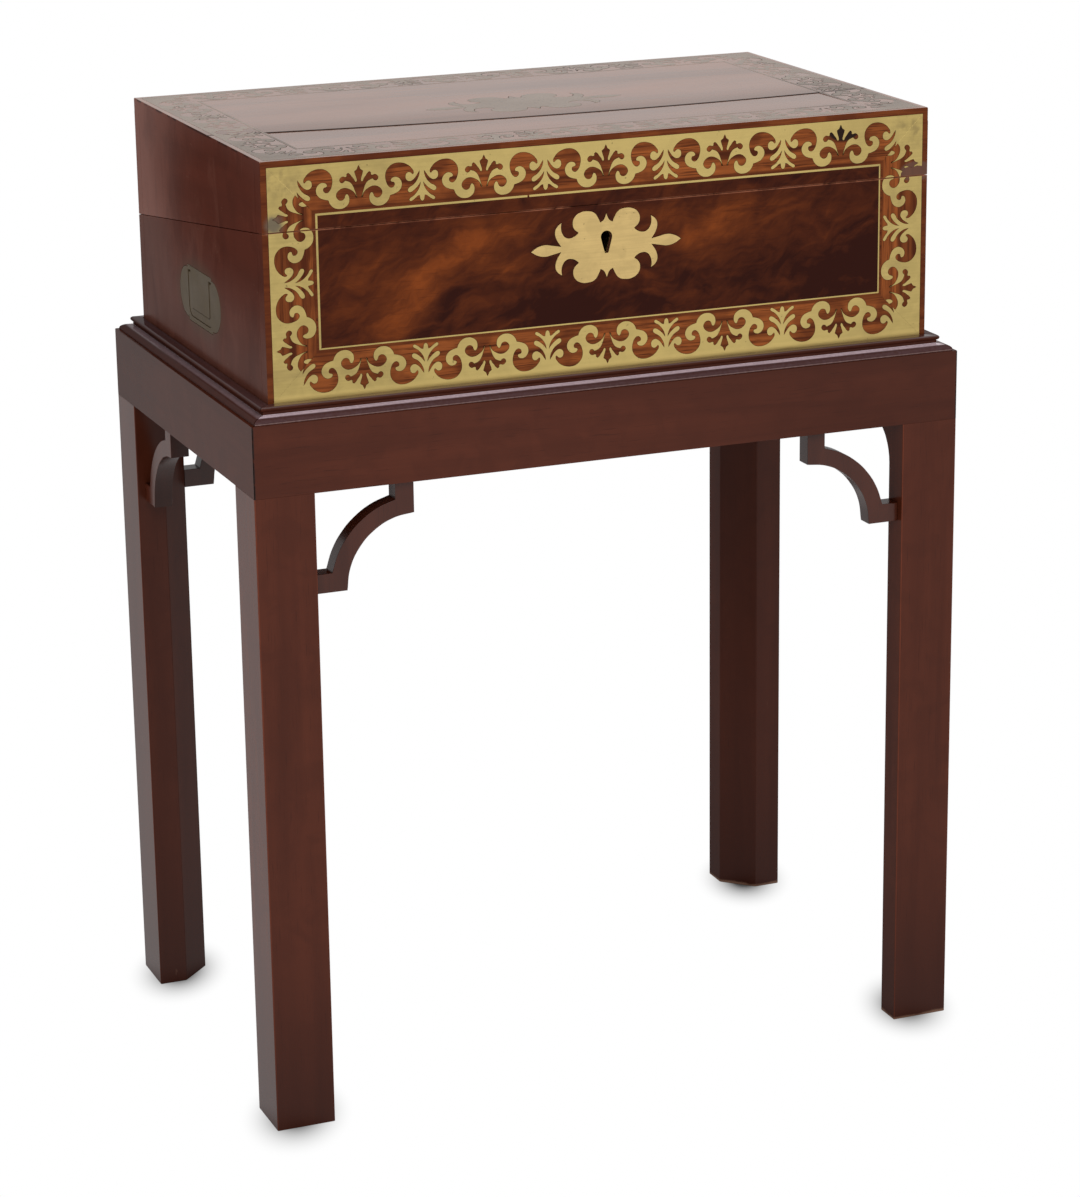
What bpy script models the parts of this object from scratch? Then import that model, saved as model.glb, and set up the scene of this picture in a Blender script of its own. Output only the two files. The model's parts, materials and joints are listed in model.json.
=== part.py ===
"""Brass-inlaid lap desk, lifted on and off a four-legged stand.

Metres, +Z up. The locked front of the desk looks along -Y, and the origin is on the floor under
the middle of the stand.
"""

import math

import bmesh
import bpy
from mathutils import Matrix, Vector

# Gaps
CLEARANCE = 0.0003
OVERCUT = 0.002
WELD = 0.000001

# Desk box
DESK_WIDTH = 0.508
DESK_DEPTH = 0.306
DESK_HEIGHT = 0.172
WALL = 0.012
LID_BOARD = 0.010
BOTTOM_BOARD = 0.008
SLOPE_RISE = 0.039
LID_PLAIN_STRIP = 0.0132

# Brass let into the box
INLAY_EDGE = 0.0045
INLAY_BAND = 0.0318
INLAY_THICKNESS = 0.001
SEAM_MARGIN = 0.0008
ESCUTCHEON_LENGTH = 0.1148
ESCUTCHEON_HEIGHT = 0.051
ESCUTCHEON_DROP = 0.0042
CARTOUCHE_LENGTH = 0.155
CARTOUCHE_HEIGHT = 0.0689
KEYHOLE_RADIUS = 0.0043
KEYHOLE_RISE = 0.0062
KEYHOLE_FOOT = 0.0054
KEYHOLE_FOOT_WIDTH = 0.0026

# Stand
LEG = 0.044
LEG_CHAMFER = 0.0226
CHAMFER_STOP = 0.033
CHAMFER_REST = 0.001
KNEE_HEIGHT = 0.474
RAIL_HEIGHT = 0.0515
RAIL_THICKNESS = 0.022
RAIL_PROJECTION = 0.018
MOULDING_HEIGHT = 0.0105
MOULDING_LEDGE = 0.0025
MOULDING_FILLET = 0.001
MOULDING_STEP = 0.0025
LIP_REACH = 0.0084
LIP_NOSE = 0.0034
LIP_GAP = 0.0006
LIP_COVER = 0.004
BRACKET_REACH = 0.0745
BRACKET_TIP = 0.0235
BRACKET_BAND = 0.0125
BRACKET_SEAT = 0.014
BRACKET_THICKNESS = 0.014
BRACKET_SETBACK = 0.006

# Lock and its link plate
LOCK_WIDTH = 0.064
LOCK_DEPTH = 0.0078
LOCK_SKIN = 0.0039
LOCK_PLATE = 0.0016
LOCK_TOP = 0.002
LOCK_CHEEK = 0.004
LOCK_FOOT = 0.0067
BOLT_INSET = 0.0032
BOLT_THICKNESS = 0.0023
BOLT_BAR = 0.005
BOLT_BAR_LENGTH = 0.046
BOLT_RISE = 0.006
BOLT_HOOK = 0.0035
BOLT_FINGER = 0.003
BOLT_TRAVEL = 0.0055
BOLT_REST_GAP = 0.0007
LINK_LENGTH = 0.048
LINK_THICKNESS = 0.0015
LINK_WIDTH = 0.006
STAPLE_SPACING = 0.028
STAPLE_WIDTH = 0.003
STAPLE_WIRE = 0.0012
STAPLE_LENGTH = 0.010
STAPLE_EYE = 0.004
STAPLE_EYE_DROP = 0.0065

# Drop handles
HANDLE_RISE = 0.048
PAN_THICKNESS = 0.0065
PAN_HEIGHT = 0.041
PAN_MIDDLE = 0.058
PAN_LOBE = 0.0185
PAN_LOBE_SPACING = 0.062
BAIL_WIDTH = 0.056
BAIL_DROP = 0.0305
BAIL_BAR = 0.0055
BAIL_THICKNESS = 0.005
BAIL_CORNER = 0.008
BAIL_SINK = 0.0003
BAIL_PLAY = 0.0005
BAIL_RISE = 0.014
BAIL_PIN = 0.0015
BAIL_PIN_REACH = 0.003

# Hinges
HINGE_INSET = 0.104
HINGE_LENGTH = 0.050
HINGE_BARREL = 0.003
HINGE_PIN = 0.0012
HINGE_PIN_OVERHANG = 0.001
HINGE_STANDOFF = 0.001
HINGE_LEAF = 0.0015
HINGE_MARGIN = 0.002

# Writing flaps and their leather
FLAP_THICKNESS = 0.006
FLAP_DROP = 0.0005
FLAP_GAP = 0.0005
FLAP_PIVOT_INSET = 0.003
FLAP_FINGER_GAP = 0.003
FLAP_PIN = 0.002
FLAP_PIN_REACH = 0.005
SKIVER_THICKNESS = 0.001
SKIVER_MARGIN = 0.016

# Pen and ink tray
WELL_WIDTH = 0.044
WELL_PLAY = 0.006
WELL_HEIGHT = 0.040
WELL_CORNER = 0.004
WELL_NECK = 0.011
WELL_NECK_HEIGHT = 0.006
WELL_BORE = 0.008
WELL_FLOOR = 0.006
CAP_RADIUS = 0.014
CAP_HEIGHT = 0.012
TRAY_HEADROOM = 0.004
TRAY_BOARD = 0.006
PARTITION = 0.005
PEN_TRAY_HEIGHT = 0.020
PEN_TRAY_RIM = 0.004
PEN_TROUGH = 0.014

# Facets of round work
PIN_SIDES = 16
TURNED_SIDES = 32
ARC_STEPS = 8

# Levels and places worked out from the sizes above
HALF_WIDTH = DESK_WIDTH / 2
HALF_DEPTH = DESK_DEPTH / 2
RAIL_TOP = KNEE_HEIGHT + RAIL_HEIGHT
DESK_BOTTOM = RAIL_TOP + MOULDING_HEIGHT - LIP_COVER
DESK_TOP = DESK_BOTTOM + DESK_HEIGHT
LID_UNDERSIDE = DESK_TOP - LID_BOARD - CLEARANCE
SEAM_FRONT = DESK_TOP - INLAY_EDGE - INLAY_BAND - LID_PLAIN_STRIP
SEAM_BACK = SEAM_FRONT - SLOPE_RISE
SLOPE = math.atan2(SLOPE_RISE, DESK_DEPTH)
LID_LEVEL = CLEARANCE * math.cos(SLOPE)
INNER_WIDTH = HALF_WIDTH - WALL
INNER_FRONT = WALL - HALF_DEPTH
INNER_BACK = HALF_DEPTH - WALL
RECESS = INLAY_THICKNESS + CLEARANCE
ESCUTCHEON_LEVEL = SEAM_FRONT - ESCUTCHEON_DROP - ESCUTCHEON_HEIGHT / 2
HINGE_AXIS = (HALF_DEPTH + HINGE_STANDOFF, SEAM_BACK + CLEARANCE / 2)
LOCK_FRONT = LOCK_SKIN + CLEARANCE - HALF_DEPTH
LOCK_BACK = LOCK_FRONT + LOCK_DEPTH
BOLT_PLANE = LOCK_BACK - BOLT_INSET
STAPLE_DEPTH = BOLT_THICKNESS + 2 * CLEARANCE + 2 * STAPLE_WIRE
TRAY_DEPTH = WELL_WIDTH + 2 * WELL_PLAY
DIVIDER_FRONT = INNER_FRONT + TRAY_DEPTH
DIVIDER_BACK = DIVIDER_FRONT + TRAY_BOARD
BAIL_DEPTH = BAIL_SINK + BAIL_THICKNESS / 2
FLAP_PIVOT = INNER_BACK - FLAP_GAP - math.hypot(FLAP_PIVOT_INSET, FLAP_THICKNESS / 2)

# How an outline is turned: the way its face looks
UPWARDS = (0.0, 0.0, 0.0)
FRONTWARDS = (math.pi / 2, 0.0, 0.0)
RIGHTWARDS = (math.pi / 2, 0.0, math.pi / 2)
LEFTWARDS = (math.pi / 2, 0.0, -math.pi / 2)
ALONG_X = (0.0, math.pi / 2, 0.0)


def clear_scene():
    """Start from an empty scene."""
    for old in list(bpy.data.objects):
        bpy.data.objects.remove(old)


def new_collection(name):
    """A collection linked to the scene."""
    made = bpy.data.collections.new(name)
    bpy.context.scene.collection.children.link(made)
    return made


def new_material(name, colour, roughness, metallic=0.0):
    """A plain finish."""
    made = bpy.data.materials.new(name)
    made.use_nodes = True
    shader = made.node_tree.nodes["Principled BSDF"]
    shader.inputs["Base Color"].default_value = (*colour, 1.0)
    shader.inputs["Roughness"].default_value = roughness
    shader.inputs["Metallic"].default_value = metallic
    return made


clear_scene()
PARTS = new_collection("lap_desk_on_stand")
HELPERS = new_collection("cutters")
STAND_WOOD = new_material("stand_mahogany", (0.085, 0.028, 0.016), 0.35)
BOX_WOOD = new_material("box_mahogany", (0.12, 0.038, 0.015), 0.3)
INNER_WOOD = new_material("inner_wood", (0.16, 0.065, 0.03), 0.5)
BRASS = new_material("brass", (0.55, 0.40, 0.14), 0.3, 1.0)
STEEL = new_material("steel", (0.45, 0.45, 0.46), 0.4, 1.0)
LEATHER = new_material("leather", (0.03, 0.07, 0.045), 0.55)
GLASS = new_material("glass", (0.75, 0.82, 0.80), 0.08)


# Outlines

def arc(centre, radius, start, end, steps=ARC_STEPS):
    """Points round a circle, from one angle to another in degrees."""
    points = []
    for step in range(steps + 1):
        angle = math.radians(start + (end - start) * step / steps)
        points.append((centre[0] + radius * math.cos(angle), centre[1] + radius * math.sin(angle)))
    return points


def rectangle(left, low, right, high):
    """Four corners, anticlockwise."""
    return [(left, low), (right, low), (right, high), (left, high)]


def grown(loop, gap):
    """The same outline with every side moved outwards by a gap."""
    following = loop[1:] + loop[:1]
    area = sum(a[0] * b[1] - b[0] * a[1] for a, b in zip(loop, following))
    side = gap if area > 0 else -gap
    moved = []
    for index, point in enumerate(loop):
        arriving = Vector(point) - Vector(loop[index - 1])
        leaving = Vector(following[index]) - Vector(point)
        normals = arriving.orthogonal().normalized() + leaving.orthogonal().normalized()
        corner = Vector(point) - normals * (2 * side / normals.length_squared)
        moved.append(tuple(corner))
    return moved


def through(knots, steps=2):
    """A smooth line through the knots, without its last point."""
    points = [Vector(knot) for knot in knots]
    padded = [2 * points[0] - points[1]] + points + [2 * points[-1] - points[-2]]
    line = []
    for before, start, end, after in zip(padded, padded[1:], padded[2:], padded[3:]):
        for step in range(steps):
            t = step / steps
            bend = (end - before) * t + (2 * before - 5 * start + 4 * end - after) * t * t
            bend += (3 * start - before - 3 * end + after) * t ** 3
            line.append(tuple(start + bend / 2))
    return line


def ornament(length, height):
    """Leaf-ended scroll plate, drawn as one quarter in tenths of a millimetre and mirrored twice."""
    finial = [(574, 0), (530, 27), (474, 41), (405, 31), (346, 19)]
    horn = [(346, 19), (383, 79), (391, 129), (375, 162), (342, 187)]
    hollow = [(342, 187), (346, 153), (337, 112), (308, 79), (267, 75), (225, 95), (213, 108)]
    lobe = [(213, 108), (246, 137), (257, 178), (242, 220), (200, 249), (143, 255), (93, 240), (60, 195),
            (47, 166)]
    spike = [(47, 166), (22, 182), (0, 228)]
    half_length = finial[0][0]
    half_height = max(y for x, y in lobe)
    quarter = []
    for stretch in (finial, horn, hollow, lobe, spike):
        quarter += through(stretch)
    across = length / 2 / half_length
    upwards = height / 2 / half_height
    quarter = [(x * across, y * upwards) for x, y in quarter]
    top = (0.0, spike[-1][1] * upwards)
    left = [(-x, y) for x, y in quarter[:0:-1]]
    upper = quarter + [top] + left
    lower = [(x, -y) for x, y in upper[:0:-1]]
    return upper + [(-length / 2, 0.0)] + lower


def keyhole():
    """A round eye over a narrowing slot, about the middle of the escutcheon."""
    eye = arc((0.0, KEYHOLE_RISE), KEYHOLE_RADIUS, -20, 200, 2 * ARC_STEPS)
    half_foot = KEYHOLE_FOOT_WIDTH / 2
    return eye + [(-half_foot, -KEYHOLE_FOOT), (half_foot, -KEYHOLE_FOOT)]


def raised(loop, level):
    """An outline moved up."""
    return [(x, y + level) for x, y in loop]


def seam(y):
    """Height of the slanted parting between case and lid."""
    return SEAM_BACK + (HALF_DEPTH - y) * SLOPE_RISE / DESK_DEPTH


def on_slope(along, above):
    """The (y, z) point this far up the slope from the back and this far above the seam."""
    y = HALF_DEPTH - along * math.cos(SLOPE) + above * math.sin(SLOPE)
    z = SEAM_BACK + along * math.sin(SLOPE) + above * math.cos(SLOPE)
    return (y, z)


def along_slope(y, above):
    """How far up the slope a point with this y lies."""
    return (HALF_DEPTH + above * math.sin(SLOPE) - y) / math.cos(SLOPE)


def slope_strip(start, end, low, high):
    """A (y, z) outline laid parallel to the seam."""
    return [on_slope(start, low), on_slope(end, low), on_slope(end, high), on_slope(start, high)]


# Solids: each is a mesh with its place and its turn

def finished(shape):
    """Turn working geometry into a mesh, smooth on its round sides."""
    mesh = bpy.data.meshes.new("solid")
    shape.to_mesh(mesh)
    shape.free()
    mesh.shade_smooth()
    mesh.set_sharp_from_angle(angle=math.radians(35))
    return mesh


def flat_mesh(loops, thickness):
    """A plate of one outline with any holes, centred on its own plane."""
    curve = bpy.data.curves.new("outline", "CURVE")
    curve.dimensions = "2D"
    curve.fill_mode = "BOTH"
    curve.extrude = thickness / 2
    for loop in loops:
        spline = curve.splines.new("POLY")
        spline.points.add(len(loop) - 1)
        for knot, point in zip(spline.points, loop):
            knot.co = (*point, 0.0, 1.0)
        spline.use_cyclic_u = True
    drawn = bpy.data.objects.new("outline", curve)
    bpy.context.scene.collection.objects.link(drawn)
    graph = bpy.context.evaluated_depsgraph_get()
    filled = bpy.data.meshes.new_from_object(drawn.evaluated_get(graph))
    bpy.data.objects.remove(drawn)
    bpy.data.curves.remove(curve)
    shape = bmesh.new()
    shape.from_mesh(filled)
    bpy.data.meshes.remove(filled)
    bmesh.ops.remove_doubles(shape, verts=shape.verts, dist=WELD)
    bmesh.ops.recalc_face_normals(shape, faces=shape.faces)
    return finished(shape)


def plate(loops, thickness, place, turn=UPWARDS):
    """An outline given a thickness."""
    return flat_mesh(loops, thickness), place, turn


def section(loop, left, right):
    """A (y, z) outline run from one x to another."""
    return flat_mesh([loop], right - left), ((left + right) / 2, 0.0, 0.0), RIGHTWARDS


def block(low, high):
    """A box between two corners."""
    size = [top - bottom for bottom, top in zip(low, high)]
    middle = [(top + bottom) / 2 for bottom, top in zip(low, high)]
    shape = bmesh.new()
    bmesh.ops.create_cube(shape, size=1.0, matrix=Matrix.Diagonal((*size, 1.0)))
    return finished(shape), middle, UPWARDS


def rod(middle, length, radius, turn=UPWARDS, sides=PIN_SIDES):
    """A closed cylinder."""
    shape = bmesh.new()
    bmesh.ops.create_cone(shape, cap_ends=True, segments=sides, radius1=radius, radius2=radius, depth=length)
    return finished(shape), middle, turn


def mitred(profile, half_run, place, turn):
    """A profile run along one side of the desk, its ends cut to meet the next side."""
    mesh = flat_mesh([profile], 1.0)
    for vertex in mesh.vertices:
        vertex.co.z = math.copysign(half_run + vertex.co.x - CLEARANCE, vertex.co.z)
    return mesh, place, turn


# Objects

def pivot(name, place, parent=None):
    """An empty on a joint's axis."""
    made = bpy.data.objects.new(name, None)
    made.location = place
    PARTS.objects.link(made)
    hang(made, parent)
    return made


def hang(made, parent):
    """Parent an object without moving it."""
    if parent:
        made.parent = parent
        made.matrix_parent_inverse = Matrix.Translation(parent.location).inverted()


def piece(name, solid, finish, parent=None):
    """One named piece of the desk or stand."""
    mesh, place, turn = solid
    mesh.name = name
    mesh.materials.append(finish)
    made = bpy.data.objects.new(name, mesh)
    made.location = place
    made.rotation_euler = turn
    PARTS.objects.link(made)
    hang(made, parent)
    return made


def helper(name, solid, parent):
    """A solid that only shapes other pieces."""
    mesh, place, turn = solid
    made = bpy.data.objects.new(name, mesh)
    made.location = place
    made.rotation_euler = turn
    made.display_type = "WIRE"
    made.hide_render = True
    HELPERS.objects.link(made)
    hang(made, parent)
    return made


def combine(name, solid, operation, pieces):
    """Shape some pieces with a solid."""
    tool = helper(name, solid, pieces[0].parent)
    for made in pieces:
        step = made.modifiers.new(name, "BOOLEAN")
        step.operation = operation
        step.solver = "EXACT"
        step.object = tool


def cut(name, solid, *pieces):
    """Take a solid out of some pieces."""
    combine(name, solid, "DIFFERENCE", pieces)


def add(name, solid, *pieces):
    """Join a solid to some pieces."""
    combine(name, solid, "UNION", pieces)


DESK = pivot("desk_pivot", (0.0, 0.0, DESK_BOTTOM))
LID = pivot("lid_pivot", (0.0, *HINGE_AXIS), DESK)
SIDES = (("left", -1), ("right", 1))
RUNS = (
    ("right", (HALF_WIDTH, 0.0), HALF_DEPTH, 0.0),
    ("back", (0.0, HALF_DEPTH), HALF_WIDTH, math.pi / 2),
    ("left", (-HALF_WIDTH, 0.0), HALF_DEPTH, math.pi),
    ("front", (0.0, -HALF_DEPTH), HALF_WIDTH, -math.pi / 2),
)


# Stand

def leg(name, side_x, side_y, turn):
    """A square leg, rebated for the rails, its inner corner chamfered with a scooped stop."""
    half = LEG / 2
    x = side_x * (HALF_WIDTH + RAIL_PROJECTION - half)
    y = side_y * (HALF_DEPTH + RAIL_PROJECTION - half)
    square = rectangle(-half, -half, half, half)
    made = piece(name, plate([square], RAIL_TOP, (x, y, RAIL_TOP / 2), (0.0, 0.0, turn)), STAND_WOOD)

    shoulder = KNEE_HEIGHT - CLEARANCE
    outside = half + OVERCUT
    post = RAIL_THICKNESS + CLEARANCE - half
    rebate = [(-outside, -outside), (outside, -outside), (outside, post), (post, post), (post, outside),
              (-outside, outside)]
    height = RAIL_HEIGHT + CLEARANCE + OVERCUT
    middle = (x, y, shoulder + height / 2)
    cut(name + "_rebate", plate([rebate], height, middle, (0.0, 0.0, turn)), made)

    depth = LEG_CHAMFER / math.sqrt(2)
    flat = LEG / math.sqrt(2) - depth
    radius = (depth ** 2 + CHAMFER_STOP ** 2) / (2 * depth)
    stop_foot = shoulder - CHAMFER_REST - CHAMFER_STOP
    sweep = math.degrees(math.acos(1 - (depth + OVERCUT) / radius))
    scoop = arc((flat + radius, stop_foot), radius, 180, 180 - sweep)
    outer = scoop[-1][0]
    profile = [(outer, -OVERCUT), (flat, -OVERCUT)] + scoop
    corner = (math.pi / 2, 0.0, turn + math.pi / 4)
    cut(name + "_chamfer", plate([profile], 2 * LEG, (x, y, 0.0), corner), made)


def legs():
    """Four legs, each turned so that its chamfer looks to the middle."""
    leg("leg_front_left", -1, -1, 0.0)
    leg("leg_front_right", 1, -1, math.pi / 2)
    leg("leg_back_right", 1, 1, math.pi)
    leg("leg_back_left", -1, 1, -math.pi / 2)


def moulding_profile():
    """Ovolo under a rounded lip, as distance out from the desk and height above the rail."""
    nose = LIP_NOSE / 2
    neck = LIP_REACH - nose
    foot = RAIL_PROJECTION - MOULDING_LEDGE
    rise = MOULDING_HEIGHT - LIP_NOSE - MOULDING_STEP - MOULDING_FILLET
    ovolo = []
    for across, up in arc((0.0, 0.0), 1.0, 0, 90):
        ovolo.append((neck + (foot - neck) * across, MOULDING_FILLET + rise * up))
    rounded = arc((neck, MOULDING_HEIGHT - nose), nose, -90, 90)
    return [(LIP_GAP, CLEARANCE), (foot, CLEARANCE)] + ovolo + rounded + [(LIP_GAP, MOULDING_HEIGHT)]


def frame_and_moulding():
    """Rails mitred over the legs, the moulding on them, and the board that carries the desk."""
    rail = rectangle(RAIL_PROJECTION - RAIL_THICKNESS, 0.0, RAIL_PROJECTION, RAIL_HEIGHT)
    for side, middle, half_run, turn in RUNS:
        facing = (math.pi / 2, 0.0, turn)
        piece("rail_" + side, mitred(rail, half_run, (*middle, KNEE_HEIGHT), facing), STAND_WOOD)
        lip = mitred(moulding_profile(), half_run, (*middle, RAIL_TOP), facing)
        piece("moulding_" + side, lip, STAND_WOOD)
    reach_x = HALF_WIDTH + LIP_GAP - CLEARANCE
    reach_y = HALF_DEPTH + LIP_GAP - CLEARANCE
    low = (-reach_x, -reach_y, RAIL_TOP + CLEARANCE)
    high = (reach_x, reach_y, DESK_BOTTOM - CLEARANCE)
    piece("platform", block(low, high), STAND_WOOD)


def bracket_outline(direction):
    """A curved brace from the rail to the leg that leaves the corner itself open."""
    inner = BRACKET_REACH - BRACKET_TIP
    outer = inner + BRACKET_BAND
    seat = math.degrees(math.asin(BRACKET_SEAT / outer))
    centre = (BRACKET_REACH, -BRACKET_REACH)
    loop = [(BRACKET_REACH - BRACKET_SEAT, 0.0), (BRACKET_REACH, 0.0)]
    loop += arc(centre, inner, 90, 180)
    loop += [(0.0, -BRACKET_REACH), (0.0, BRACKET_SEAT - BRACKET_REACH)]
    loop += arc(centre, outer, 180 - seat, 90 + seat)
    return [(direction * x, y) for x, y in loop]


def brackets():
    """Braces on the front and back rails, and on the side rails at the back legs."""
    level = KNEE_HEIGHT - CLEARANCE
    inside = RAIL_PROJECTION - LEG - CLEARANCE
    middle = RAIL_PROJECTION - BRACKET_SETBACK - BRACKET_THICKNESS / 2
    for side, sign in SIDES:
        for end, facing in (("front", -1), ("back", 1)):
            place = (sign * (HALF_WIDTH + inside), facing * (HALF_DEPTH + middle), level)
            brace = plate([bracket_outline(-sign)], BRACKET_THICKNESS, place, FRONTWARDS)
            piece("bracket_" + end + "_" + side, brace, STAND_WOOD)
        place = (sign * (HALF_WIDTH + middle), HALF_DEPTH + inside, level)
        brace = plate([bracket_outline(-1)], BRACKET_THICKNESS, place, RIGHTWARDS)
        piece("bracket_" + side + "_back", brace, STAND_WOOD)


# Box

def below_seam(front, back):
    """A (y, z) outline of a case wall."""
    return [(front, DESK_BOTTOM), (back, DESK_BOTTOM), (back, seam(back)), (front, seam(front))]


def above_seam(front, back):
    """A (y, z) outline of a lid wall."""
    foot = [(front, seam(front) + CLEARANCE), (back, seam(back) + CLEARANCE)]
    return foot + [(back, LID_UNDERSIDE), (front, LID_UNDERSIDE)]


def walls(prefix, outline, parent):
    """Four walls: front and back run the full width, with the ends between them."""
    made = {}
    front = section(outline(-HALF_DEPTH, INNER_FRONT), -HALF_WIDTH, HALF_WIDTH)
    back = section(outline(INNER_BACK, HALF_DEPTH), -HALF_WIDTH, HALF_WIDTH)
    made["front"] = piece(prefix + "_front", front, BOX_WOOD, parent)
    made["back"] = piece(prefix + "_back", back, BOX_WOOD, parent)
    end = outline(INNER_FRONT + CLEARANCE, INNER_BACK - CLEARANCE)
    for side, sign in SIDES:
        left, right = sorted((sign * INNER_WIDTH, sign * HALF_WIDTH))
        made[side] = piece(prefix + "_" + side, section(end, left, right), BOX_WOOD, parent)
    return made


def let_in(name, loops, place, turn, parent, *boards):
    """A brass plate flush in a shallow recess of one or more boards."""
    recess = [grown(loops[0], CLEARANCE)] + [grown(hole, -CLEARANCE) for hole in loops[1:]]
    cut(name + "_recess", plate(recess, 2 * RECESS, place, turn), *boards)
    inwards = Vector((0.0, 0.0, -INLAY_THICKNESS / 2))
    inwards.rotate(Matrix.Rotation(turn[0], 3, "X"))
    return piece(name, plate(loops, INLAY_THICKNESS, Vector(place) + inwards, turn), BRASS, parent)


def border(edge, band, end):
    """A band up both ends and along one edge, from levels given for each."""
    outside = HALF_WIDTH - INLAY_EDGE
    inside = outside - INLAY_BAND
    return [(-outside, end), (-outside, edge), (outside, edge), (outside, end), (inside, end), (inside, band),
            (-inside, band), (-inside, end)]


def case():
    """Lower half of the desk with its brass border."""
    boards = walls("case", below_seam, DESK)
    reach_x = INNER_WIDTH - CLEARANCE
    front = INNER_FRONT + CLEARANCE
    low = (-reach_x, front, DESK_BOTTOM)
    high = (reach_x, INNER_BACK - CLEARANCE, DESK_BOTTOM + BOTTOM_BOARD)
    piece("case_bottom", block(low, high), BOX_WOOD, DESK)
    edge = DESK_BOTTOM + INLAY_EDGE
    loop = border(edge, edge + INLAY_BAND, SEAM_FRONT - SEAM_MARGIN)
    let_in("case_inlay", [loop], (0.0, -HALF_DEPTH, 0.0), FRONTWARDS, DESK, boards["front"])
    return boards


def lid():
    """Upper half of the desk with its brass borders and cartouche."""
    boards = walls("lid", above_seam, LID)
    low = (-HALF_WIDTH, -HALF_DEPTH, LID_UNDERSIDE + CLEARANCE)
    top = piece("lid_top", block(low, (HALF_WIDTH, HALF_DEPTH, DESK_TOP)), BOX_WOOD, LID)
    boards["top"] = top
    edge = DESK_TOP - INLAY_EDGE
    loop = border(edge, edge - INLAY_BAND, SEAM_FRONT + CLEARANCE + SEAM_MARGIN)
    face = (0.0, -HALF_DEPTH, 0.0)
    let_in("lid_front_inlay", [loop], face, FRONTWARDS, LID, boards["front"], top)
    x = HALF_WIDTH - INLAY_EDGE
    y = HALF_DEPTH - INLAY_EDGE
    outer = rectangle(-x, -y, x, y)
    inner = grown(outer, -INLAY_BAND)
    face = (0.0, 0.0, DESK_TOP)
    let_in("lid_top_inlay", [outer, inner], face, UPWARDS, LID, top)
    let_in("lid_cartouche", [ornament(CARTOUCHE_LENGTH, CARTOUCHE_HEIGHT)], face, UPWARDS, LID, top)
    return boards


# Lock

def staple_places():
    """Middle of each staple across the desk."""
    return (-STAPLE_SPACING / 2, STAPLE_SPACING / 2)


def lock(case_front):
    """Box lock in the front wall, its keyhole plate, and the bolt that slides behind them."""
    face = (0.0, -HALF_DEPTH, 0.0)
    outline = raised(ornament(ESCUTCHEON_LENGTH, ESCUTCHEON_HEIGHT), ESCUTCHEON_LEVEL)
    opening = raised(keyhole(), ESCUTCHEON_LEVEL)
    plate_made = let_in("escutcheon", [outline], face, FRONTWARDS, DESK, case_front)

    half = LOCK_WIDTH / 2
    top = seam(LOCK_BACK) - CLEARANCE
    foot = ESCUTCHEON_LEVEL - KEYHOLE_FOOT - LOCK_FOOT
    body = piece("lock_case", block((-half, LOCK_FRONT, foot), (half, LOCK_BACK, top)), BRASS, DESK)
    low = (-half - CLEARANCE, LOCK_FRONT - CLEARANCE, foot - CLEARANCE)
    high = (half + CLEARANCE, max(LOCK_BACK, INNER_FRONT) + OVERCUT, SEAM_FRONT + OVERCUT)
    cut("lock_mortise", block(low, high), case_front)

    eye = seam(BOLT_PLANE) - STAPLE_EYE_DROP
    bar_top = eye - BOLT_RISE
    bar_foot = bar_top - BOLT_BAR
    room = half - LOCK_CHEEK
    low = (-room, LOCK_FRONT + LOCK_PLATE, bar_foot - CLEARANCE)
    cut("lock_room", block(low, (room, LOCK_BACK + OVERCUT, top - LOCK_TOP)), body)
    slot = STAPLE_WIDTH / 2 + 2 * CLEARANCE
    for number, x in enumerate(staple_places()):
        low = (x - slot, LOCK_FRONT + LOCK_PLATE, top - LOCK_TOP - OVERCUT)
        cut("staple_slot_" + str(number), block(low, (x + slot, LOCK_BACK + OVERCUT, top + OVERCUT)), body)
    depth = 2 * (WALL + LOCK_DEPTH)
    for owner in (plate_made, body, case_front):
        cut(owner.name + "_keyhole", plate([opening], depth, face, FRONTWARDS), owner)

    rear = room - OVERCUT
    guide = pivot("bolt_pivot", (0.0, BOLT_PLANE, eye), DESK)
    bar = rectangle(-rear, bar_foot, BOLT_BAR_LENGTH - rear, bar_top)
    bolt = piece("lock_bolt", plate([bar], BOLT_THICKNESS, (0.0, BOLT_PLANE, 0.0), FRONTWARDS), STEEL, guide)
    overlap = BOLT_BAR / 2
    for number, x in enumerate(staple_places()):
        tip = x - STAPLE_WIDTH / 2 - BOLT_REST_GAP
        heel = tip - BOLT_TRAVEL - BOLT_HOOK - BOLT_REST_GAP
        under = eye - BOLT_FINGER / 2
        over = eye + BOLT_FINGER / 2
        hook = [(heel, bar_top - overlap), (heel + BOLT_HOOK, bar_top - overlap), (heel + BOLT_HOOK, under),
                (tip, under), (tip, over), (heel, over)]
        solid = plate([hook], BOLT_THICKNESS, (0.0, BOLT_PLANE, 0.0), FRONTWARDS)
        add("bolt_hook_" + str(number), solid, bolt)


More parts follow.
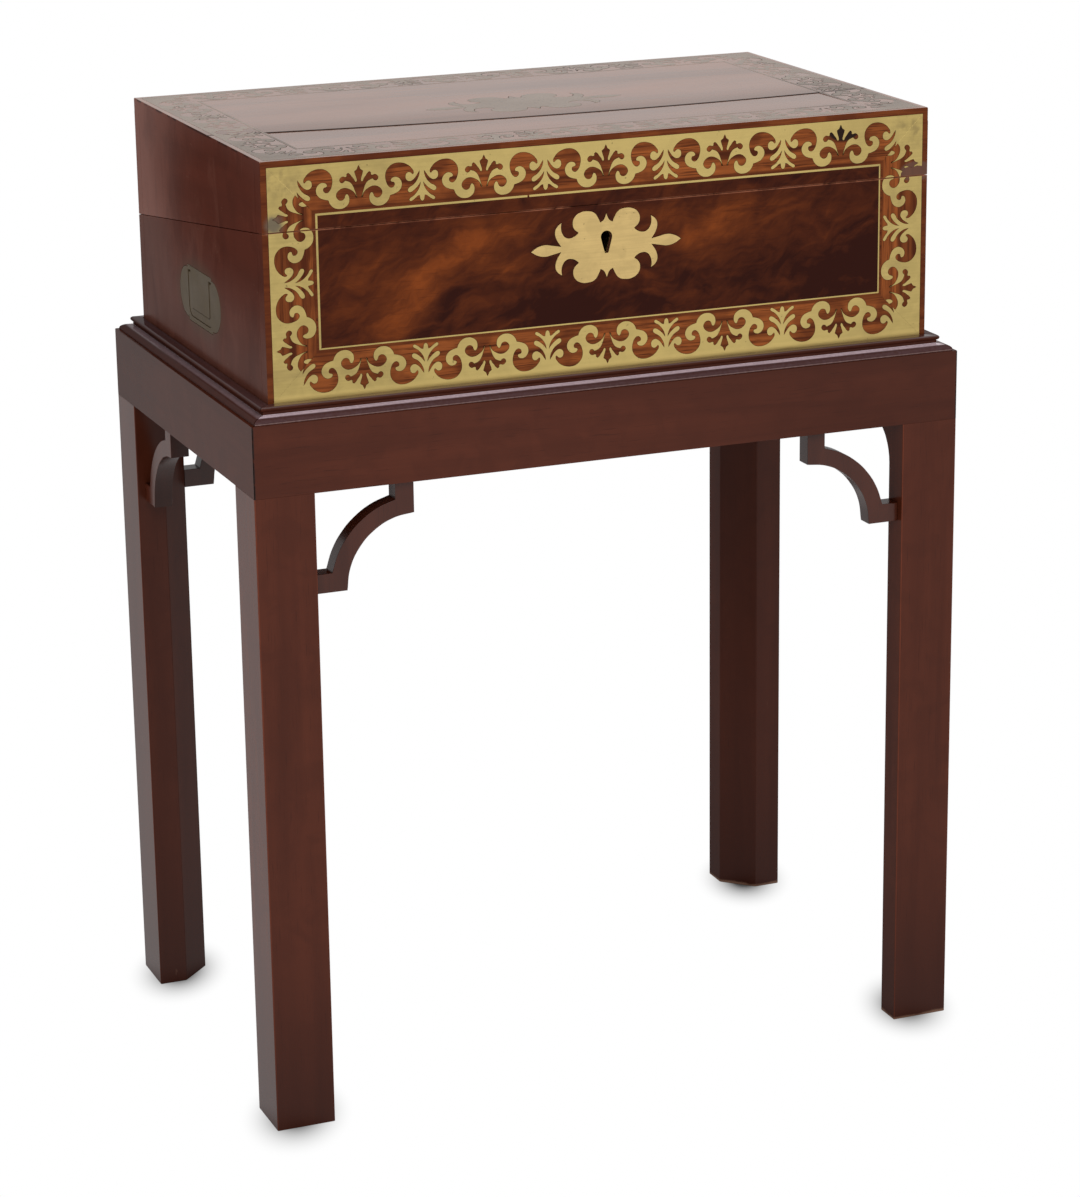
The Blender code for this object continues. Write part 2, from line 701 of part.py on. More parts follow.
def link_plate(lid_front):
    """Plate in the lid's front edge with two staples for the bolt."""
    half = LINK_LENGTH / 2
    middle = along_slope(BOLT_PLANE, LID_LEVEL)
    start = middle - LINK_WIDTH / 2
    end = middle + LINK_WIDTH / 2
    strip = slope_strip(start, end, LID_LEVEL, LID_LEVEL + LINK_THICKNESS)
    made = piece("link_plate", section(strip, -half, half), BRASS, LID)
    high = LID_LEVEL + LINK_THICKNESS + CLEARANCE
    bed = slope_strip(start - CLEARANCE, end + CLEARANCE, -OVERCUT, high)
    cut("link_bed", section(bed, -half - CLEARANCE, half + CLEARANCE), lid_front)
    level = seam(BOLT_PLANE)
    eye = level - STAPLE_EYE_DROP
    deep = STAPLE_DEPTH / 2
    hole = deep - STAPLE_WIRE
    wide = STAPLE_WIDTH / 2
    for number, x in enumerate(staple_places()):
        low = (x - wide, BOLT_PLANE - deep, level - STAPLE_LENGTH)
        high = (x + wide, BOLT_PLANE + deep, level + LINK_THICKNESS)
        add("staple_" + str(number), block(low, high), made)
        low = (x - wide - OVERCUT, BOLT_PLANE - hole, eye - STAPLE_EYE / 2)
        high = (x + wide + OVERCUT, BOLT_PLANE + hole, eye + STAPLE_EYE / 2)
        cut("staple_eye_" + str(number), block(low, high), made)


# Handles

def pan_outline():
    """A plate with a square middle and rounded ends."""
    middle = PAN_MIDDLE / 2
    lobe = PAN_LOBE_SPACING / 2
    start = math.degrees(math.acos((middle - lobe) / PAN_LOBE))
    right = arc((lobe, 0.0), PAN_LOBE, -start, start, 2 * ARC_STEPS)
    left = [(-x, -y) for x, y in right]
    high = PAN_HEIGHT / 2
    return [(middle, -high)] + right + [(middle, high), (-middle, high)] + left + [(-middle, -high)]


def bail_outline(top, play):
    """A square-cornered loop open at the top, about the handle's middle."""
    foot = BAIL_RISE - BAIL_DROP - play
    outside = BAIL_WIDTH / 2 + play
    inside = BAIL_WIDTH / 2 - BAIL_BAR - play
    radius = BAIL_CORNER + play
    inner_radius = max(BAIL_CORNER - BAIL_BAR - play, OVERCUT / 2)
    inner_foot = BAIL_RISE - BAIL_DROP + BAIL_BAR + play
    loop = [(-outside, top)] + arc((radius - outside, foot + radius), radius, 180, 270)
    loop += arc((outside - radius, foot + radius), radius, 270, 360) + [(outside, top), (inside, top)]
    level = inner_foot + inner_radius
    loop += arc((inside - inner_radius, level), inner_radius, 0, -90)
    loop += arc((inner_radius - inside, level), inner_radius, -90, -180) + [(-inside, top)]
    return loop


def handle(side, sign, board):
    """Flush brass pan with a drop handle on two pins."""
    turn = RIGHTWARDS if sign > 0 else LEFTWARDS
    level = DESK_BOTTOM + HANDLE_RISE
    face = sign * HALF_WIDTH
    outline = pan_outline()
    bed = plate([grown(outline, CLEARANCE)], 2 * (PAN_THICKNESS + CLEARANCE), (face, 0.0, level), turn)
    cut(side + "_pan_bed", bed, board)
    middle = (face - sign * PAN_THICKNESS / 2, 0.0, level)
    pan = piece(side + "_handle_plate", plate([outline], PAN_THICKNESS, middle, turn), BRASS, DESK)

    round_end = BAIL_THICKNESS / 2
    pocket = bail_outline(BAIL_RISE + round_end + BAIL_PLAY, BAIL_PLAY)
    depth = BAIL_SINK + BAIL_THICKNESS + CLEARANCE
    cut(side + "_bail_pocket", plate([pocket], 2 * depth, (face, 0.0, level), turn), pan)

    axis_x = face - sign * BAIL_DEPTH
    axis_z = level + BAIL_RISE
    swing = pivot(side + "_bail_pivot", (axis_x, 0.0, axis_z), DESK)
    loop = plate([bail_outline(BAIL_RISE, 0.0)], BAIL_THICKNESS, (axis_x, 0.0, level), turn)
    bail = piece(side + "_bail", loop, BRASS, swing)
    arm = (BAIL_WIDTH - BAIL_BAR) / 2
    along_y = FRONTWARDS
    for end, way in (("near", -1), ("far", 1)):
        knuckle = rod((axis_x, way * arm, axis_z), BAIL_BAR, round_end, along_y)
        add(side + "_bail_knuckle_" + end, knuckle, bail)
        start = arm
        stop = BAIL_WIDTH / 2 + BAIL_PLAY + BAIL_PIN_REACH
        pin = rod((axis_x, way * (start + stop) / 2, axis_z), stop - start, BAIL_PIN, along_y)
        add(side + "_bail_pin_" + end, pin, bail)
        stop += CLEARANCE
        bore = rod((axis_x, way * (start + stop) / 2, axis_z), stop - start, BAIL_PIN + CLEARANCE, along_y)
        cut(side + "_bail_bore_" + end, bore, pan)


# Hinges

def hinge(side, sign, case_back, lid_back):
    """Butt hinge: two knuckles on the case leaf, one on the lid leaf, and the pin through them."""
    middle = sign * (HALF_WIDTH - HINGE_INSET)
    half = HINGE_LENGTH / 2
    knuckle = (HINGE_LENGTH - 2 * CLEARANCE) / 3
    step = knuckle + CLEARANCE
    leaf_end = WALL - HINGE_MARGIN
    axis = (middle, *HINGE_AXIS)

    def barrel(shift, length, radius):
        return rod((middle + shift, *HINGE_AXIS), length, radius, ALONG_X)

    def leaf(name, low, high, parent):
        start = along_slope(HINGE_AXIS[0], (low + high) / 2)
        return piece(name, section(slope_strip(start, leaf_end, low, high), middle - half, middle + half),
                     BRASS, parent)

    def bed(low, high):
        strip = slope_strip(-2 * HINGE_BARREL, leaf_end + CLEARANCE, low, high)
        return section(strip, middle - half - CLEARANCE, middle + half + CLEARANCE)

    lid_high = LID_LEVEL + HINGE_LEAF
    case_leaf = leaf("hinge_leaf_case_" + side, -HINGE_LEAF, 0.0, DESK)
    lid_leaf = leaf("hinge_leaf_lid_" + side, LID_LEVEL, lid_high, LID)
    cut("case_leaf_bed_" + side, bed(-HINGE_LEAF - CLEARANCE, OVERCUT), case_back)
    cut("lid_leaf_bed_" + side, bed(-OVERCUT, lid_high + CLEARANCE), lid_back)
    room = HINGE_LENGTH + 2 * (HINGE_PIN_OVERHANG + CLEARANCE)
    swing = HINGE_BARREL + CLEARANCE
    cut("barrel_room_" + side, barrel(0.0, room, swing), case_back, lid_back)
    cut("middle_room_" + side, barrel(0.0, knuckle + 2 * CLEARANCE, swing), case_leaf)
    add("middle_knuckle_" + side, barrel(0.0, knuckle, HINGE_BARREL), lid_leaf)
    for end, shift in (("near", -step), ("far", step)):
        outer = shift + math.copysign(OVERCUT / 2, shift)
        cut(end + "_room_" + side, barrel(outer, knuckle + OVERCUT + 2 * CLEARANCE, swing), lid_leaf)
        add(end + "_knuckle_" + side, barrel(shift, knuckle, HINGE_BARREL), case_leaf)
    bore = HINGE_LENGTH + 2 * OVERCUT
    for made in (case_leaf, lid_leaf):
        cut(made.name + "_bore", barrel(0.0, bore, HINGE_PIN + CLEARANCE), made)
    pin_length = HINGE_LENGTH + 2 * HINGE_PIN_OVERHANG
    piece("hinge_pin_" + side, rod(axis, pin_length, HINGE_PIN, ALONG_X), BRASS, DESK)


# Writing flaps

def flap(name, low, end, skiver, skiver_low, parent, boards):
    """A writing board on two pins, with leather let into one face."""
    high = low + FLAP_THICKNESS
    level = (low + high) / 2
    heel = along_slope(FLAP_PIVOT, level)
    start = heel - FLAP_PIVOT_INSET
    axis = on_slope(heel, level)
    swing = pivot(name + "_pivot", (0.0, *axis), parent)
    half = INNER_WIDTH - FLAP_GAP
    made = piece(name, section(slope_strip(start, end, low, high), -half, half), INNER_WOOD, swing)
    stop = INNER_WIDTH + FLAP_PIN_REACH
    for side, sign in SIDES:
        inside = half - FLAP_PIN_REACH
        pin = rod((sign * (inside + stop) / 2, *axis), stop - inside, FLAP_PIN, ALONG_X)
        add(name + "_pin_" + side, pin, made)
        length = stop + CLEARANCE - half
        bore = rod((sign * (half + length / 2), *axis), length, FLAP_PIN + CLEARANCE, ALONG_X)
        cut(name + "_bore_" + side, bore, boards[side])

    first = start + SKIVER_MARGIN
    last = end - SKIVER_MARGIN
    reach = half - SKIVER_MARGIN
    leather = slope_strip(first, last, skiver_low, skiver_low + SKIVER_THICKNESS)
    piece(skiver, section(leather, -reach, reach), LEATHER, swing)
    floor = skiver_low - CLEARANCE if skiver_low > level else skiver_low - OVERCUT
    roof = skiver_low + SKIVER_THICKNESS + (OVERCUT if skiver_low > level else CLEARANCE)
    bed = slope_strip(first - CLEARANCE, last + CLEARANCE, floor, roof)
    cut(name + "_leather_bed", section(bed, -reach - CLEARANCE, reach + CLEARANCE), made)


def flaps(case_boards, lid_boards):
    """The two halves of the writing surface, over the storage in the case and in the lid."""
    low = -FLAP_DROP - FLAP_THICKNESS
    end = along_slope(DIVIDER_FRONT, low)
    flap("case_flap", low, end, "case_skiver", -FLAP_DROP - SKIVER_THICKNESS, DESK, case_boards)
    low = LID_LEVEL + FLAP_DROP
    end = along_slope(INNER_FRONT + FLAP_FINGER_GAP, low)
    flap("lid_flap", low, end, "lid_skiver", low, LID, lid_boards)


# Pen and ink tray

def tray():
    """Floor, divider and partitions at the top of the slope, with a pen tray and two inkwells."""
    front = INNER_FRONT + CLEARANCE
    back = DIVIDER_FRONT - CLEARANCE
    reach = INNER_WIDTH - CLEARANCE
    under_flap = (FLAP_DROP + FLAP_THICKNESS + CLEARANCE) / math.cos(SLOPE)
    foot = DESK_BOTTOM + BOTTOM_BOARD + CLEARANCE
    outline = [(DIVIDER_FRONT, foot), (DIVIDER_BACK, foot), (DIVIDER_BACK, seam(DIVIDER_BACK) - under_flap),
               (DIVIDER_FRONT, seam(DIVIDER_FRONT) - under_flap)]
    piece("tray_divider", section(outline, -reach, reach), INNER_WOOD, DESK)

    bottle = WELL_HEIGHT + CAP_HEIGHT + 2 * CLEARANCE
    top = seam(DIVIDER_FRONT) - TRAY_HEADROOM - bottle
    floor = block((-reach, front, top - TRAY_BOARD), (reach, back, top))
    piece("tray_floor", floor, INNER_WOOD, DESK)

    level = top + CLEARANCE
    wall = [(front, level), (back, level), (back, seam(back) - TRAY_HEADROOM),
            (front, seam(front) - TRAY_HEADROOM)]
    bay = INNER_WIDTH - TRAY_DEPTH
    for side, sign in SIDES:
        left, right = sorted((sign * bay, sign * (bay - PARTITION)))
        piece("partition_" + side, section(wall, left, right), INNER_WOOD, DESK)
        inkwell(side, (sign * (INNER_WIDTH - TRAY_DEPTH / 2), INNER_FRONT + TRAY_DEPTH / 2, level))

    rim = level + PEN_TRAY_HEIGHT
    half = (back - front) / 2 - PEN_TRAY_RIM
    radius = (half ** 2 + PEN_TROUGH ** 2) / (2 * PEN_TROUGH)
    sweep = math.degrees(math.asin(half / radius))
    centre = ((front + back) / 2, rim - PEN_TROUGH + radius)
    trough = arc(centre, radius, 270 + sweep, 270 - sweep, 2 * ARC_STEPS)
    outline = [(front, level), (back, level), (back, rim)] + trough + [(front, rim)]
    run = bay - PARTITION - CLEARANCE
    piece("pen_tray", section(outline, -run, run), INNER_WOOD, DESK)


def inkwell(side, foot):
    """Square glass bottle with a round neck, and its turned cap."""
    x, y, level = foot
    half = WELL_WIDTH / 2
    shoulder = level + WELL_HEIGHT
    made = piece("inkwell_" + side, block((x - half, y - half, level), (x + half, y + half, shoulder)), GLASS,
                 DESK)
    rounded = made.modifiers.new("rounded", "BEVEL")
    rounded.width = WELL_CORNER
    rounded.segments = 1
    neck_foot = shoulder - WELL_NECK_HEIGHT
    neck = rod((x, y, shoulder), 2 * WELL_NECK_HEIGHT, WELL_NECK, sides=TURNED_SIDES)
    add("neck_" + side, neck, made)
    bore_foot = level + WELL_FLOOR
    bore_top = neck_foot + 2 * WELL_NECK_HEIGHT + OVERCUT
    bore = rod((x, y, (bore_foot + bore_top) / 2), bore_top - bore_foot, WELL_BORE, sides=TURNED_SIDES)
    cut("well_" + side, bore, made)

    cap_foot = shoulder + CLEARANCE
    cap = rod((x, y, cap_foot + CAP_HEIGHT / 2), CAP_HEIGHT, CAP_RADIUS, sides=TURNED_SIDES)
    made = piece("inkwell_cap_" + side, cap, BRASS, DESK)
    over_neck = rod((x, y, cap_foot), 2 * (WELL_NECK_HEIGHT + CLEARANCE), WELL_NECK + CLEARANCE,
                    sides=TURNED_SIDES)
    cut("cap_room_" + side, over_neck, made)


legs()
frame_and_moulding()
brackets()
case_boards = case()
lid_boards = lid()
lock(case_boards["front"])
link_plate(lid_boards["front"])
for side, sign in SIDES:
    handle(side, sign, case_boards[side])
    hinge(side, sign, case_boards["back"], lid_boards["back"])
flaps(case_boards, lid_boards)
tray()
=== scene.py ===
"""Finishes and fine work of a brass-inlaid lap desk on its stand.

Laid out as a Blender add-on and run as a script. Metres, +Z up, and the lock side looks along -Y.
"""

import json
import math
from contextlib import contextmanager

import bpy
from bpy.props import FloatProperty, FloatVectorProperty, IntProperty, PointerProperty
from mathutils import Matrix, Vector

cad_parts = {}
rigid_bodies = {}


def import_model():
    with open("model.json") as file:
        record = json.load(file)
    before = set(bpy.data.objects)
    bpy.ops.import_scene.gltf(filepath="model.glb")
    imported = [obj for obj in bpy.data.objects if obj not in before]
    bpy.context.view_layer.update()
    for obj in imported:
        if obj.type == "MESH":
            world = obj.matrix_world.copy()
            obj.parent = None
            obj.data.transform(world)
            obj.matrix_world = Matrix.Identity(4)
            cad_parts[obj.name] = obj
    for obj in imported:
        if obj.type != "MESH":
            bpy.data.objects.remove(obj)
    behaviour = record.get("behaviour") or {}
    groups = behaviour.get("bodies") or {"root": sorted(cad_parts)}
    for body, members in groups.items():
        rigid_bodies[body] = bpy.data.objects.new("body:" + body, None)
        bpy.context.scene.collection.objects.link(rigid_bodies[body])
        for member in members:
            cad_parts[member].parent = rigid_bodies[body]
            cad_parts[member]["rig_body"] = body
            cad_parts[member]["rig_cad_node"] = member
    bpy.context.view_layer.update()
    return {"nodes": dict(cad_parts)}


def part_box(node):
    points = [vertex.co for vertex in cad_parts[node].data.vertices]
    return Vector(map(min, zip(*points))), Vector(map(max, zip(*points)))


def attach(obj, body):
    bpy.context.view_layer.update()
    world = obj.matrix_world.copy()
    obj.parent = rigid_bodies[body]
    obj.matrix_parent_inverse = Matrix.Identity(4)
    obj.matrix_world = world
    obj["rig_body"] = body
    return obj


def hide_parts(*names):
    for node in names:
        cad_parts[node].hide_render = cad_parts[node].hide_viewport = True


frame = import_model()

bl_info = {
    "name": "Lap desk on stand",
    "version": (1, 0, 0),
    "blender": (4, 5, 0),
    "location": "3D View > Sidebar > Lap desk",
    "description": "Dresses the pieces of a brass-inlaid lap desk and its stand",
    "category": "Object",
}

MM = 0.001
TENTH = 0.0001
WELD = 0.000001
TOUCH = 0.00005
FLAT_ANGLE = math.radians(0.3)
SHARP_ANGLE = math.radians(30)
SMOOTH_ANGLE = math.radians(32)

# The box, read from its boards
LID_LOW, LID_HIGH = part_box("lid_top")
CASE_LOW, CASE_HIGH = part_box("case_front")
END_LOW, END_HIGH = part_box("case_left")
HALF_WIDTH = LID_HIGH.x
FRONT = LID_LOW.y
BACK = LID_HIGH.y
TOP = LID_HIGH.z
BOTTOM = CASE_LOW.z
SEAM = CASE_HIGH.z
SEAM_SLOPE = (SEAM - END_HIGH.z) / (END_LOW.y - FRONT)
SEAM_GAP = 0.0003
MID_HEIGHT = (TOP + BOTTOM) / 2
HALF_HEIGHT = TOP - MID_HEIGHT
INLAY_EDGE = HALF_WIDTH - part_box("case_inlay")[1].x
ROW_REACH = HALF_WIDTH - INLAY_EDGE
COLUMN_REACH = MID_HEIGHT - BOTTOM - INLAY_EDGE
END_REACH = BACK - INLAY_EDGE
ESCUTCHEON_LEVEL = sum(corner.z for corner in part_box("escutcheon")) / 2
RAIL_LOW, RAIL_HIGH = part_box("rail_front")
LIP_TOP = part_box("moulding_front")[1].z
LEGS = ("leg_front_left", "leg_front_right", "leg_back_left", "leg_back_right")

FRONTWARDS = Vector((0.0, -1.0, 0.0))
UPWARDS = Vector((0.0, 0.0, 1.0))
DOWNWARDS = Vector((0.0, 0.0, -1.0))
BACKWARDS = Vector((0.0, 1.0, 0.0))
RIGHTWARDS = Vector((1.0, 0.0, 0.0))
LEFTWARDS = Vector((-1.0, 0.0, 0.0))

# The fret's inner edge from the axis of a wooden palmette to the axis of a brass one, in tenths of a
# millimetre along the run and in from the brass's outer edge. Each stroke is smooth and ends in a corner.
FRET_STROKES = (
    ((0, 29), (8, 44), (12, 56)),
    ((12, 56), (32, 71)),
    ((32, 71), (27, 91), (20, 112), (16, 137), (22, 143), (35, 124), (51, 104), (60, 91), (76, 77)),
    ((76, 77), (89, 87), (89, 100), (97, 104), (118, 100), (139, 116), (141, 129), (126, 145), (110, 141),
     (100, 130)),
    ((100, 130), (89, 133), (64, 145), (47, 166), (32, 203), (22, 236), (18, 251)),
    ((18, 251), (32, 220), (64, 193), (110, 179), (147, 193), (168, 224), (159, 251), (134, 265),
     (110, 255), (100, 232), (91, 224), (77, 238), (73, 265), (82, 293), (110, 315), (143, 321),
     (184, 311), (213, 282), (224, 255)),
    ((224, 255), (259, 246), (292, 228), (311, 191), (304, 158), (279, 135), (255, 133), (236, 143),
     (232, 158), (242, 164), (255, 168), (260, 181), (255, 195), (234, 205), (209, 187), (195, 153),
     (191, 124), (197, 91), (217, 62), (246, 42), (279, 35), (321, 39), (362, 58), (387, 83), (400, 108),
     (394, 124), (383, 116), (371, 108), (350, 112), (340, 133), (346, 158), (371, 170), (394, 161),
     (413, 143), (430, 118), (443, 100)),
    ((443, 100), (441, 127), (429, 157), (411, 183), (391, 200), (369, 212), (355, 229), (362, 245),
     (379, 245), (401, 232), (421, 215), (438, 196), (450, 178)),
    ((450, 178), (446, 203), (434, 231), (416, 255), (393, 276), (373, 287), (365, 299), (373, 309),
     (391, 302), (411, 288), (428, 275), (441, 273)),
    ((441, 273), (443, 290), (448, 306), (459, 313)),
)
FRET_CELL, FRET_TIP = FRET_STROKES[-1][-1]

# The crack across the lid's top: its distance from the front edge as a parabola over the panel's half width
CRACK = (0.0922, -0.0082, 0.0120)

# Repairs on the front: the middle and the reach of each
BROWN_FILLING = ((HALF_WIDTH - 0.009, FRONT, SEAM + 0.0035), (0.015, 0.02, 0.0085))
BLACK_STOPPING = ((0.1858, FRONT, TOP - 0.0118), (0.0135, 0.02, 0.0085))
GREY_FILLING = ((-0.2450, FRONT, SEAM + 0.0055), (0.0105, 0.02, 0.0105))

# Bright scratches along the front's upper mitres: which side, and where each starts and ends
SCRATCHES = ((-1.0, 0.231, 0.2405), (1.0, 0.229, 0.2485))

# Where joints stand open round the top's brass, with painted shadow there: across, depth and reach. At the
# first two the brass itself is duller, and painted darker as shadow, as well.
LIFTED = ((-0.225, -0.115, 0.08), (0.225, -0.07, 0.10), (0.0, 0.0, 0.09), (0.11, 0.135, 0.06))

# A quarter of the keyhole plate in tenths of a millimetre about its middle, each stroke ending in a corner
PLATE_STROKES = (
    ((574, 0), (530, 27), (474, 41), (405, 31), (346, 19)),
    ((346, 19), (383, 79), (391, 129), (375, 162), (342, 187)),
    ((342, 187), (346, 153), (337, 112), (308, 79), (267, 75), (225, 95), (213, 108)),
    ((213, 108), (246, 137), (257, 178), (242, 220), (200, 249), (143, 255), (93, 240), (60, 195), (47, 166)),
    ((47, 166), (22, 182), (0, 228)),
)
PLATE_LENGTH = 2 * PLATE_STROKES[0][0][0] * TENTH

# Lights of the flame figure: place from the box's left and top, half length, half width (mm), tilt, strength
FLAMES = (
    ((93, 122), 30, 20, 40, 0.46),
    ((112, 98), 40, 20, 42, 0.57),
    ((142, 77), 46, 22, 33, 0.42),
    ((176, 60), 48, 18, 14, 0.36),
    ((75, 88), 58, 42, 35, 0.30),
    ((150, 75), 78, 40, 25, 0.14),
    ((178, 88), 26, 14, -20, 0.32),
    ((160, 113), 30, 6, 12, 0.25),
    ((189, 125), 22, 8, 18, 0.25),
    ((133, 111), 26, 12, 40, -0.30),
    ((215, 122), 52, 20, 8, -0.30),
    ((338, 70), 38, 22, 30, 0.58),
    ((314, 82), 36, 18, -35, 0.34),
    ((292, 62), 34, 14, 8, 0.28),
    ((290, 106), 44, 6, -14, 0.24),
    ((300, 117), 48, 6, -12, 0.22),
    ((368, 72), 50, 26, 15, 0.24),
    ((425, 66), 50, 36, 30, 0.18),
    ((397, 121), 36, 6, 8, 0.22),
    ((440, 112), 70, 32, 0, -0.15),
)


def sized(name, description, default):
    """A length to set in the sidebar."""
    return FloatProperty(name=name, description=description, default=default, unit="LENGTH")


def tinted(name, description, default):
    """A colour to set in the sidebar."""
    return FloatVectorProperty(name=name, description=description, default=default, subtype="COLOR")


def angled(name, description, degrees):
    """An angle to set in the sidebar."""
    return FloatProperty(name=name, description=description, default=math.radians(degrees), subtype="ANGLE")


class LapdeskSizes(bpy.types.PropertyGroup):
    """Sizes of the fine work."""

    stand_edge: sized("Stand edges", "Rounding worn into the stand's edges", 0.0011)
    foot_edge: sized("Foot edges", "Rounding worn into the feet", 0.0034)
    box_edge: sized("Box edges", "Rounding worn into the box's edges", 0.0006)
    metal_edge: sized("Metal edges", "Broken edges of the fittings", 0.0003)
    fret_cell: sized("Palmette spacing", "From a wooden palmette's axis to the next brass one", 0.04585)
    fret_depth: sized("Brass depth", "How deep the fretwork is let in", 0.0009)
    fret_proud: sized("Brass stand", "How far the brass stands above the wood between", 0.00006)
    joint_width: sized("Joint width", "Width of the dark joint round the brass", 0.00024)
    fret_steps: IntProperty(
        name="Curve steps", description="Straight steps between two points of the fret",
        default=3, min=1)
    band: sized("Border width", "Width of the inlaid border", 0.0321)
    line_inset: sized("Line inset", "From the box's edge to the brass line", 0.0384)
    line_width: sized("Line width", "Width of the brass line", 0.0015)
    mitre_gap: sized("Mitre gap", "Open joint at the border's corners", 0.00004)


class LapdeskColours(bpy.types.PropertyGroup):
    """Colours of the finishes, in linear light."""

    stand_dark: tinted("Stand, dark grain", "Darkest streaks of the stand", (0.032, 0.0064, 0.0027))
    stand_light: tinted("Stand, light grain", "Lightest streaks of the stand", (0.083, 0.0190, 0.0085))
    side_red: tinted("Box ends", "Polished mahogany of the box's ends", (0.082, 0.0185, 0.0100))
    # The faded colour of the box's ends is dulled polish and painted sheen together.
    side_faded_and_sheen: tinted("Box ends, faded", "Where the polish has gone dull", (0.112, 0.038, 0.025))
    panel_dark: tinted("Panel, dark", "Dark ground of the flame figure", (0.029, 0.0057, 0.0031))
    panel_flame: tinted("Panel, flame", "Light of the flame figure", (0.180, 0.0405, 0.0078))
    border_dark: tinted("Border wood, dark", "Dark streaks between the brass", (0.075, 0.0165, 0.0055))
    border_light: tinted("Border wood, light", "Light streaks between the brass", (0.248, 0.068, 0.0165))
    top_wood: tinted("Lid top", "Faded mahogany of the lid's top", (0.245, 0.112, 0.068))
    brass: tinted("Brass", "Rubbed brass of the border", (0.452, 0.338, 0.122))
    brass_pale: tinted("Keyhole plate", "Brighter brass of the keyhole plate", (0.58, 0.413, 0.170))
    top_metal: tinted("Top brass", "Brass of the lid's top under its polish", (0.190, 0.122, 0.074))
    tarnish: tinted("Tarnish", "Brown bloom on the brass", (0.17, 0.125, 0.060))
    leather: tinted("Leather", "Writing leather", (0.018, 0.050, 0.030))
    inner: tinted("Inner wood", "Wood inside the box", (0.19, 0.075, 0.032))


class LapdeskStage(bpy.types.PropertyGroup):
    """Camera and light."""

    camera_place: FloatVectorProperty(
        name="Camera", description="Where the camera stands", subtype="TRANSLATION",
        default=(-0.99540, -2.49983, 1.13779))
    azimuth: angled("Azimuth", "Turn of the view from the front", 21.849)
    elevation: angled("Elevation", "How far the view looks down", 16.868)
    roll: angled("Roll", "Turn of the picture about its middle", -0.806)
    lens: FloatProperty(
        name="Lens", description="Focal length for a 36 mm picture", default=110.276, unit="CAMERA")
    sky: FloatProperty(
        name="Sky", description="Light from all round", default=0.67)
    key: FloatProperty(
        name="Key", description="Power of the soft light over the camera", default=66.0, unit="POWER")


def sizes():
    """The sizes set in the sidebar."""
    return bpy.context.scene.lapdesk_sizes


def colours():
    """The colours set in the sidebar."""
    return bpy.context.scene.lapdesk_colours


# Shader nodes

class Wire:
    """A node's output that takes part in arithmetic."""

    def __init__(self, finish, socket):
        self.finish = finish
        self.socket = socket

    def join(self, operation, first, second):
        """A Math node on two values."""
        return self.finish.node("ShaderNodeMath", {"operation": operation}, {0: first, 1: second})

    def __add__(self, other):
        return self.join("ADD", self, other)

    def __radd__(self, other):
        return self.join("ADD", other, self)

    def __sub__(self, other):
        return self.join("SUBTRACT", self, other)

    def __rsub__(self, other):
        return self.join("SUBTRACT", other, self)

    def __mul__(self, other):
        return self.join("MULTIPLY", self, other)

    def __rmul__(self, other):
        return self.join("MULTIPLY", other, self)


class Nodes:
    """A tree of shader nodes and the one way to add to it."""

    def __init__(self, tree):
        self.tree = tree

    def node(self, kind, settings=None, sockets=None, output=0):
        """A node with its settings, then its socket values or links."""
        made = self.tree.nodes.new(kind)
        for key, value in (settings or {}).items():
            if key == "stops":
                fill_ramp(made.color_ramp, value)
            else:
                setattr(made, key, value)
        for key, value in (sockets or {}).items():
            self.feed(made.inputs[key], value)
        return Wire(self, made.outputs[output])

    def feed(self, socket, value):
        """Link or set one socket."""
        if isinstance(value, Wire):
            self.tree.links.new(value.socket, socket)
        elif socket.type == "RGBA":
            socket.default_value = (*tuple(value)[:3], 1.0)
        else:
            socket.default_value = value

    def larger(self, first, second):
        """The larger of two values."""
        return self.node("ShaderNodeMath", {"operation": "MAXIMUM"}, {0: first, 1: second})

    def shown(self):
        """1 for the rays that show the background: the camera's own, and those by way of a gloss or glass."""
        ray = self.node("ShaderNodeLightPath").socket.node.outputs
        seen = Wire(self, ray["Is Camera Ray"])
        for name in ("Is Glossy Ray", "Is Transmission Ray"):
            seen = self.larger(seen, Wire(self, ray[name]))
        return seen


